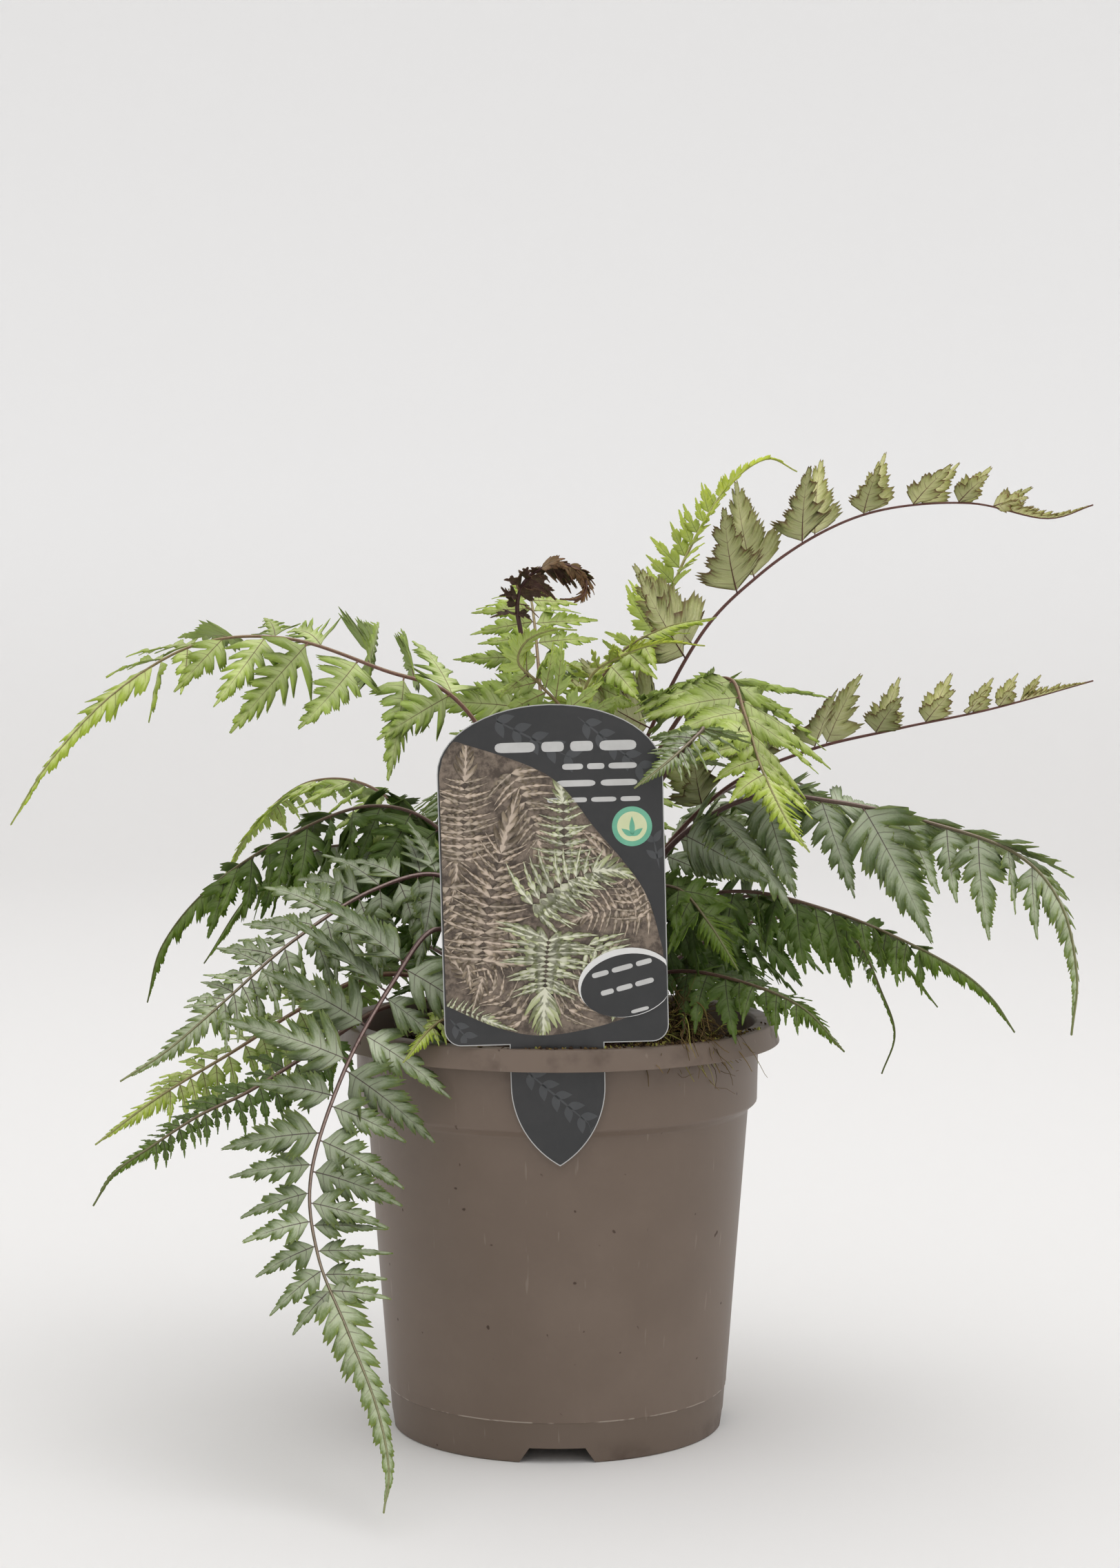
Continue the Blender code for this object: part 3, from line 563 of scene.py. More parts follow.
class LeafPaint:
    """Materials of the fronds: upper side, underside and rachis of each green."""

    def __init__(self) -> None:
        """Build the shared marking group, then three materials for each green."""
        self.marking = self.make_marking()
        self.sets = {tone: [self.make_side(tone, finish, False),
                            self.make_side(tone, finish, True), self.make_rachis(tone, finish)]
                     for tone, finish in FINISHES.items()}

    def make_marking(self) -> Effect:
        """Build the group that draws flush, veins and margin from the leaf's own marks.

        reach runs from the costa (0) to the margin (1), across from one edge of a lobe
        (0) over its midvein (0.5) to the other (1), along from the pinna's base (0) to
        its tip (1), and distance is the way from the costa in millimetres.

        Returns:
            The group.
        """
        inputs = {"reach": 0.0, "across": 0.5, "along": 0.0, "distance": 0.0, "grain": 0.5,
                  "spread": 0.6}
        made = Effect("leaf_marking", inputs, ("flush", "margin", "costa", "vein", "height"))
        w, given, out = made.wiring, made.given, made.results
        off = w.math("ABSOLUTE", w.math("MULTIPLY_ADD", given["across"], 2.0, -1.0))
        fall = w.plus(given["reach"], w.times(off, 0.22))
        fall = w.plus(fall, w.times(given["along"], 0.18))
        rough = w.times(w.less(given["grain"], 0.5), 1.1)
        fall = w.math("DIVIDE", w.plus(fall, rough), given["spread"])
        w.join(w.ramp(fall, 0.25, 1.35, 1.0, 0.0), out["flush"])
        edge = w.math("MAXIMUM", w.ramp(given["reach"], 0.72, 1.0),
                      w.times(w.ramp(off, 0.80, 1.0), w.ramp(given["reach"], 0.25, 0.7)))
        w.join(edge, out["margin"])
        thin = w.times(w.ramp(given["distance"], 0.10, 0.30, 1.0, 0.0),
                       w.ramp(given["along"], 0.25, 1.0, 1.0, 0.15))
        w.join(thin, out["costa"])
        middle = w.times(w.ramp(off, 0.03, 0.11, 1.0, 0.0),
                         w.ramp(given["reach"], 0.15, 0.75, 1.0, 0.0))
        stripe = w.less(w.times(given["distance"], 0.72), w.times(off, 1.9))
        wave = w.math("ABSOLUTE", w.less(w.math("FRACT", stripe), 0.5))
        line = w.ramp(wave, 0.38, 0.5)
        twig = w.times(line, w.ramp(given["reach"], 0.12, 0.3))
        w.join(w.math("MAXIMUM", middle, w.times(twig, 0.16)), out["vein"])
        relief = w.plus(w.times(line, -0.5), w.times(middle, -0.8))
        w.join(w.plus(relief, w.times(given["grain"], 0.5)), out["height"])
        return made

    def make_side(self, tone: Tone, finish: LeafFinish, under: bool) -> bpy.types.Material:
        """Make the upper or the lower side's material of one green.

        Args:
            tone: The green.
            finish: Its colours.
            under: Whether this is the underside.

        Returns:
            The material.
        """
        name = "leaf_%s_%s" % (tone.value, "under" if under else "upper")
        material, w, shader = new_material(name, finish.roughness + 0.1 * under, 0.22)
        reach, across, along, tone_mark = w.attribute("place")
        distance, age, spot, _ = w.attribute("span")
        where = w.node("ShaderNodeCombineXYZ")
        w.join(w.times(across, 5.0), where.inputs[0])
        w.join(w.times(reach, 1.6), where.inputs[1])
        w.join(w.times(w.plus(tone_mark, along), 9.0), where.inputs[2])
        streaks = w.noise(where.outputs[0], 1.6, 3.0, 0.6)
        fine = w.noise(w.coordinates(), 900.0, 3.0, 0.6)
        grain = w.plus(w.times(streaks, 0.7), w.times(fine, 0.3))
        marks = self.marking.use(w, reach=reach, across=across, along=along,
                                 distance=distance, grain=grain, spread=finish.spread)
        if under:
            edge = w.times(marks["margin"], finish.under_flush)
            colour = w.mix(edge, finish.under, finish.margin)
            colour = w.mix(w.times(marks["flush"], finish.under_flush * finish.strength), colour,
                           finish.flush)
            colour = w.mix(w.times(marks["vein"], 0.55), colour, finish.vein)
        else:
            colour = w.mix(w.times(marks["margin"], 0.55), finish.blade, finish.margin)
            fade = w.times(marks["flush"], w.math("MULTIPLY_ADD", tone_mark,
                                                  0.35 * finish.strength, 0.80 * finish.strength))
            colour = w.mix(fade, colour, finish.flush)
            near = w.ramp(along, 0.1, 0.8, 0.55, 0.15)
            colour = w.mix(w.times(marks["vein"], near), colour, finish.vein)
        colour = w.mix(w.times(marks["costa"], 0.85), colour, finish.vein)
        mottle = w.ramp(w.noise(w.coordinates(), 60.0, 2.0), 0.35, 0.75, 0.84, 1.10)
        shade = w.node("ShaderNodeHueSaturation")
        w.join(colour, shade.inputs["Color"])
        young = w.times(w.ramp(tone_mark, 0.0, 1.0, 0.82, 1.14),
                        w.ramp(age, 0.45, 1.0, 1.0, 1.28))
        w.join(w.times(mottle, young), shade.inputs["Value"])
        w.join(w.ramp(age, 0.0, 1.0, 0.50, 0.488), shade.inputs["Hue"])
        w.join(w.ramp(age, 0.0, 1.0, 1.0, 1.16), shade.inputs["Saturation"])
        rust = w.times(w.ramp(fine, 0.70, 0.76), w.ramp(w.noise(w.coordinates(), 130.0, 1.0),
                                                        0.62, 0.68))
        rust = w.math("MAXIMUM", w.times(rust, 0.8), spot)
        w.join(w.mix(rust, shade.outputs[0], tint(112, 70, 44)), shader["Base Color"])
        w.join(w.bump(marks["height"], 0.45, 0.00025), shader["Normal"])
        shader["Subsurface Weight"].default_value = 0.10
        shader["Subsurface Radius"].default_value = (0.6, 1.0, 0.25)
        shader["Subsurface Scale"].default_value = 0.0012
        return material

    def make_rachis(self, tone: Tone, finish: LeafFinish) -> bpy.types.Material:
        """Make the rachis material of one green: dark flanks and a paler groove.

        Args:
            tone: The green.
            finish: Its colours.

        Returns:
            The material.
        """
        material, w, shader = new_material("rachis_%s" % tone.value, 0.42, 0.4)
        around, along, tip, _ = w.attribute("place")
        streak = w.noise(w.stretched(w.coordinates(), (1.0, 1.0, 0.25)), 1400.0, 3.0, 0.6)
        groove = w.ramp(w.plus(around, w.times(streak, 0.08)), 0.14, 0.24, 1.0, 0.0)
        colour = w.mix(w.times(groove, 0.75), finish.rachis, finish.groove)
        colour = w.mix(w.ramp(along, 0.0, 0.35, 0.85, 0.0), colour, tint(70, 46, 40))
        colour = w.mix(w.times(tip, 0.75), colour, finish.margin)
        colour = w.mix(w.ramp(streak, 0.45, 0.75, 0.0, 0.35), colour, tint(48, 30, 28))
        w.join(colour, shader["Base Color"])
        w.join(w.bump(streak, 0.35, 0.0002), shader["Normal"])
        return material


# ------------------------------------------------------------------ lobed blades
@dataclass(frozen=True)
class Lobing:
    """How a blade's edge is cut, from its first lobe to its last."""

    lobes: int
    rays: int = 9
    neck: tuple[float, float] = (0.20, 0.70)   # blade left beside the costa, per lobe length
    lean: tuple[float, float] = (76.0, 38.0)   # degrees from the costa to a lobe's midvein
    foot: tuple[float, float] = (0.66, 0.95)   # lobe's width at the costa, per spacing
    tooth: float = 0.19
    crowd: float = 1.08                        # over 1, lobes get narrower towards the tip
    fall: float = 0.74                         # how the half width falls towards the tip
    shoulder: float = 0.0                      # extra length of the first lobes
    cup: float = 0.10                          # rise of the lobes from the costa
    curl: float = 0.10                         # droop of the lobes' ends
    tilt: float = 0.10                         # each lobe's turn about its own midvein
    wave: float = 0.09


REACHES = np.array([0.14, 0.55, 1.0])


def add_blade(shell: Shell, rail: Rail, half_width: float, cut: Lobing, fold: float,
              tone: float, age: tuple[float, float], thickness: float,
              rng: np.random.Generator, spot: float = 0.0) -> None:
    """Add a lobed blade on both sides of a rail.

    Lobe n of each side covers the costa between two places of 1 - (1 - n / lobes)^crowd.
    Its rays run from t = -1 to 1: they leave the costa at the lobe's lean less its fan
    times t, and are half_width * (1 - place)^fall long, times a profile
    neck + (1 - neck) * (1 - |t|^3)^0.62, every second one shortened by the tooth.
    A point at reach r of a ray rises by cup * r - curl * r^2 + tilt * t * r of its length.

    Args:
        shell: The mesh to add to.
        rail: The costa.
        half_width: Length of the longest lobe.
        cut: How the edge is cut.
        fold: Degrees that both halves are turned below the rail's own plane.
        tone: A number from 0 to 1 that shifts this blade's colour.
        age: Marks of age at the blade's base and tip, 0 old to 1 young.
        thickness: The blade's thickness.
        rng: Source of the small differences between lobes.
        spot: How withered the tip is, 0 to 1.
    """
    index = np.repeat(np.arange(cut.lobes), cut.rays)
    step = np.tile(np.arange(cut.rays), cut.lobes)
    t = step * 2.0 / (cut.rays - 1) - 1.0
    edges = 1.0 - (1.0 - np.arange(cut.lobes + 1) / cut.lobes) ** cut.crowd
    middle = (edges[index] + edges[index + 1]) / 2
    half = (edges[index + 1] - edges[index]) / 2
    foot = blend(cut.foot[0], cut.foot[1], middle)
    u = middle + half * t * foot
    length = rail.length()
    line = rail.at(np.concatenate([[0.0], u, [1.0]]))
    turn = math.radians(fold)
    sides = []
    for sign in (-1.0, 1.0):
        jitter = rng.normal(0.0, 1.0, (4, cut.lobes))[:, index]
        full = half_width * (1.0 - middle) ** cut.fall * (1.0 + 0.06 * jitter[0])
        full *= 1.0 + cut.shoulder * np.exp(-(middle / 0.12) ** 2)
        neck = blend(cut.neck[0], cut.neck[1], middle)
        skew = t - 0.22 * (1.0 - t ** 2)
        profile = neck + (1.0 - neck) * np.clip(1.0 - np.abs(skew) ** 3.0, 0, 1) ** 0.62
        inner = (np.abs(t) < 0.99).astype(float)
        profile = profile * (1.0 - cut.tooth * (1.0 - 0.5 * middle) * (step % 2) * inner
                             + 0.04 * rng.normal(0.0, 1.0, len(t)) * inner)
        reach = full * profile
        lean = np.radians(blend(cut.lean[0], cut.lean[1], middle ** 0.8) + 3.0 * jitter[1])
        fan = np.arctan2(half * length * (1.02 - foot), 0.6 * full)
        angle = lean - fan * t
        reach = np.concatenate([[half_width * 0.02], reach, [half_width * 0.012]])
        angle = np.concatenate([[angle[0]], angle, [0.0]])
        shift = np.concatenate([[-1.0], t, [1.0]])
        wave = np.concatenate([[0.0], jitter[2], [0.0]])
        swing = np.concatenate([[0.0], jitter[3], [0.0]])
        r = REACHES[None, :]
        out = sign * line.side * math.cos(turn) - line.upper * math.sin(turn)
        rise = sign * line.side * math.sin(turn) + line.upper * math.cos(turn)
        way = reach[:, None] * r
        bend = angle[:, None] - 0.30 * r ** 2
        lift = way * (cut.cup - cut.curl * r + (cut.tilt * shift + 0.05 * swing)[:, None]
                      + cut.wave * wave[:, None] * r)
        crease = 0.10 * reach[:, None] * r * (1.0 - r) * np.abs(shift)[:, None] * 2.0
        grid = (line.points[:, None, :] + (way * np.cos(bend))[..., None]
                * line.forward[:, None, :] + (way * np.sin(bend))[..., None] * out[:, None, :]
                + (lift + crease)[..., None] * rise[:, None, :])
        place = np.zeros((len(line.points), len(REACHES), 4))
        place[..., 0] = r
        place[..., 1] = 0.5 + 0.5 * shift[:, None]
        sides.append((grid, place, way))
    u_all = np.concatenate([[0.0], u, [1.0]])
    costa = np.zeros((len(u_all), 1, 4))
    costa[..., 1] = sides[0][1][:, :1, 1]
    grid = np.concatenate([sides[0][0][:, ::-1], line.points[:, None, :], sides[1][0]], axis=1)
    place = np.concatenate([sides[0][1][:, ::-1], costa, sides[1][1]], axis=1)
    place[..., 2] = u_all[:, None]
    place[..., 3] = tone
    span = np.zeros_like(place)
    span[..., 0] = np.concatenate([sides[0][2][:, ::-1], np.zeros((len(u_all), 1)),
                                   sides[1][2]], axis=1) / MM
    span[..., 1] = blend(age[0], age[1], u_all)[:, None]
    span[..., 2] = spot * np.clip((u_all - 0.75) * 4.0, 0.0, 1.0)[:, None]
    shell.add_sheet(grid, thickness, line.upper.mean(axis=0), place, span)


# ------------------------------------------------------------------ fronds
class Ring(Enum):
    """Where on the crown a stipe stands: radius of its ring in metres."""

    INNER = 0.007
    MIDDLE = 0.013
    OUTER = 0.019


@dataclass(frozen=True)
class Habit:
    """How a frond's pinnae are set and shaped."""

    tone: Tone
    spacing: float = 0.33          # between two pinnae of a side, per their length
    pinna_width: float = 0.30      # half width of a pinna, per its length
    ahead: tuple[float, float] = (2.0, 32.0)   # degrees that pinnae point forward
    droop: float = 0.14            # fall of a pinna's tip, per its length
    tail: float = 0.71             # share of the blade where pinnae merge into the tail
    twist: float = 14.0            # spread of the pinnae's turns about their own costas
    deep_shaded: float = 0.20             # neck of the first lobes: small is deeply cut
    fullness: float = 1.15         # pinna length against the blade's half width
    stalk: float = 0.05            # bare stalk of a pinna, per its length
    thick: float = 1.0             # rachis thickness against the usual one
    lobes: int = 8
    taper: float = 0.80            # how the blade narrows towards its tip
    withered: float = 0.0          # how withered the frond's tip is
    stagger: float = 0.12          # offset between the two pinnae of a pair, per gap
    unruly: float = 1.0            # how much size and direction differ between pinnae


@dataclass(frozen=True)
class Frond:
    """One frond: a stipe from the crown, a rachis and its rows of lobed pinnae."""

    name: str
    ring: Ring
    bearing: float
    route: tuple[tuple[float, float, float], ...]
    blade_from: float
    half_width: float
    fold: float
    roll: float
    habit: Habit
    turn: float = 0.0

    STIPE = 0.0012
    RACHIS = 0.0009
    TIP = 0.00035
    THICKNESS = 0.00022
    CLOSEST = 0.0035               # least gap between two pairs of pinnae
    LOBE_SPACING = 6.0             # millimetres of costa for each lobe
    LARGE_PINNA = 0.030            # from this length on, lobes get more rays
    RIB_REACH = 0.72               # share of the costa that stands out as a rib
    FIRST_SEED = 101

    def rail(self) -> Rail:
        """Draw the frond's line from its place on the crown through its route."""
        low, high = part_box("crown")
        around = math.radians(self.bearing)
        centre = (low + high) / 2
        reach = self.ring.value
        radius = (high.x - low.x) / 2
        rise = low.z + 0.0015 + (high.z - low.z - 0.0015) * (1 - (reach / radius) ** 2)
        base = np.array([[centre.x + reach * math.cos(around),
                          centre.y + reach * math.sin(around), rise]])
        points = np.vstack([base, np.array(self.route, dtype=float) * MM])
        line = smooth_route(points, 241)
        heading = line[-1] - line[0]
        angle = math.atan2(heading[1], heading[0]) + math.radians(self.turn)
        side = np.array([-math.sin(angle), math.cos(angle), 0.0])
        return Rail.along(line, side, self.roll)

    def width_at(self, share: float) -> float:
        """Give the blade's half width in metres at a share of the blade's length."""
        return (self.half_width * MM * min(1.0, 0.80 + 1.2 * share)
                * (1.0 - share) ** self.habit.taper)

    def shares(self, blade_length: float) -> list[float]:
        """Place the pinna pairs, each a part of its own length on from the last one.

        Args:
            blade_length: Length of the rachis from the first pinna to the tip.

        Returns:
            The pairs' places as shares of the blade, up to the tail.
        """
        places = [0.0]
        while places[-1] < self.habit.tail:
            step = self.habit.spacing * self.habit.fullness * self.width_at(places[-1])
            places.append(places[-1] + max(step, self.CLOSEST) / blade_length)
        return places[:-1]

    def add_rachis(self, shell: Shell, rail: Rail) -> None:
        """Add stipe and rachis: a grooved tube that gets thinner towards the tip."""
        share = np.linspace(0.0, 1.0, 110)
        blade = np.clip((share - self.blade_from) / (1.0 - self.blade_from), 0.0, 1.0)
        size = blend(self.STIPE, self.RACHIS, share / self.blade_from)
        size = (size + (self.TIP - self.RACHIS) * blade ** 0.8) * self.habit.thick
        marks = np.zeros((len(share), 4))
        marks[:, 1] = share
        marks[:, 2] = blade ** 2
        shell.add_tube(rail.at(share), size, 10, 0.26, marks, slot=2)

    def add_pinna(self, shell: Shell, rail: Rail, share: float, sign: float,
                  rng: np.random.Generator) -> None:
        """Add one pinna: a stalk that runs on as its costa, and the lobed blade.

        The costa is base + L * (u * out + bow * u^2 * ahead - droop * u^2 * down), where
        out is turned forward from the rachis and folded below the blade's plane.

        Args:
            shell: The mesh to add to.
            rail: The frond's own rail.
            share: The pinna's place on the blade, 0 to 1.
            sign: Which side of the rachis.
            rng: Source of the differences between pinnae.
        """
        habit = self.habit
        place = self.blade_from + (1.0 - self.blade_from) * share
        at = rail.at(np.array([place]))
        point, forward, side, upper = (v[0] for v in (at.points, at.forward, at.side, at.upper))
        ahead = math.radians(blend(habit.ahead[0], habit.ahead[1], share)
                             + rng.normal(0.0, 4.0 * habit.unruly))
        size = self.width_at(share) * habit.fullness * (
            1.0 + rng.normal(0.0, 0.06 * habit.unruly))
        size /= math.cos(min(ahead, math.radians(40))) ** 0.5
        fold = math.radians(self.fold + rng.normal(0.0, 4.0))
        out = sign * side * math.cos(fold) - upper * math.sin(fold)
        along = out * math.cos(ahead) + forward * math.sin(ahead)
        front = forward * math.cos(ahead) - out * math.sin(ahead)
        face = upper * math.cos(fold) + sign * side * math.sin(fold)
        turn = math.radians(rng.normal(0.0, habit.twist))
        front = unit(front * math.cos(turn) + face * math.sin(turn))
        down = -UP + along * along[2]
        u = np.linspace(0.0, 1.0, 40)[:, None]
        droop = habit.droop * (1.0 + rng.normal(0.0, 0.25))
        line = point + size * (u * along + 0.10 * u ** 2 * front + droop * u ** 2 * down)
        costa = Rail.along(line, front)
        if float(np.dot(costa.upper[0], face)) < 0.0:
            costa = Rail(costa.points, costa.forward, -costa.side, -costa.upper)
        small = np.clip((self.half_width * MM * 0.75 - size) / (self.half_width * MM), 0, 1)
        stalk = habit.stalk * (1.0 - 0.8 * share)
        blade = costa.at(np.linspace(stalk, 1.0, 40))
        lobes = int(np.clip(round(size / MM / self.LOBE_SPACING), 3, habit.lobes))
        cut = Lobing(lobes=lobes, rays=11 if size > self.LARGE_PINNA else 9,
                     neck=(float(blend(habit.deep_shaded, 0.50, small * 1.2)), 0.76),
                     shoulder=0.22 * (1.0 - float(small)), cup=rng.normal(0.12, 0.09),
                     curl=rng.normal(0.18, 0.08), tilt=rng.normal(0.16, 0.05) * sign)
        shade = float(np.clip(rng.normal(0.5, 0.22), 0.0, 1.0))
        add_blade(shell, blade, size * habit.pinna_width, cut, 0.0, shade,
                  (share * 0.8, min(1.0, share * 0.8 + 0.3)), self.THICKNESS, rng)
        share_of_rib = np.linspace(0.0, self.RIB_REACH, 14)
        rib = costa.at(share_of_rib)
        marks = np.zeros((len(share_of_rib), 4))
        marks[:, 1] = 1.0
        marks[:, 2] = share_of_rib * 0.9
        thin = max(0.00020, 0.008 * size) * (1.0 - 0.85 * share_of_rib / self.RIB_REACH)
        sunk = (thin * np.clip(share_of_rib / max(stalk, 0.01), 0.0, 1.0))[:, None]
        lowered = Rail(rib.points - rib.upper * sunk, rib.forward, rib.side, rib.upper)
        shell.add_tube(lowered, thin, 6, 0.0, marks, slot=2)

    def build(self, paint: LeafPaint, number: int) -> bpy.types.Object:
        """Build the frond and let it stand for its plain solid.

        Args:
            paint: The leaf materials.
            number: The frond's number, which picks its chance differences.

        Returns:
            The finished object.
        """
        habit = self.habit
        rng = np.random.default_rng(self.FIRST_SEED + number)
        rail = self.rail()
        shell = Shell()
        self.add_rachis(shell, rail)
        places = self.shares(rail.length() * (1.0 - self.blade_from))
        gaps = np.diff(np.append(places, habit.tail))
        for share, gap in zip(places, gaps):
            for sign in (-1.0, 1.0):
                shift = habit.stagger * gap * sign + 0.05 * gap * rng.normal()
                self.add_pinna(shell, rail, float(np.clip(share + shift, 0.0, 0.98)), sign, rng)
        start = self.blade_from + (1.0 - self.blade_from) * (habit.tail - 0.02)
        tail = rail.at(np.linspace(start, 1.0, 60))
        cut = Lobing(lobes=13, rays=9, neck=(0.34, 0.74), lean=(74.0, 44.0),
                     foot=(0.78, 0.95), crowd=1.12, fall=0.9, cup=0.05, curl=0.08)
        add_blade(shell, tail, self.width_at(habit.tail) * 0.80, cut, self.fold,
                  0.55, (0.75, 1.0), self.THICKNESS, rng, habit.withered)
        return shell.build("leaf_" + self.name, paint.sets[habit.tone],
                           "frond_" + self.name, FINISHES[habit.tone].slot)


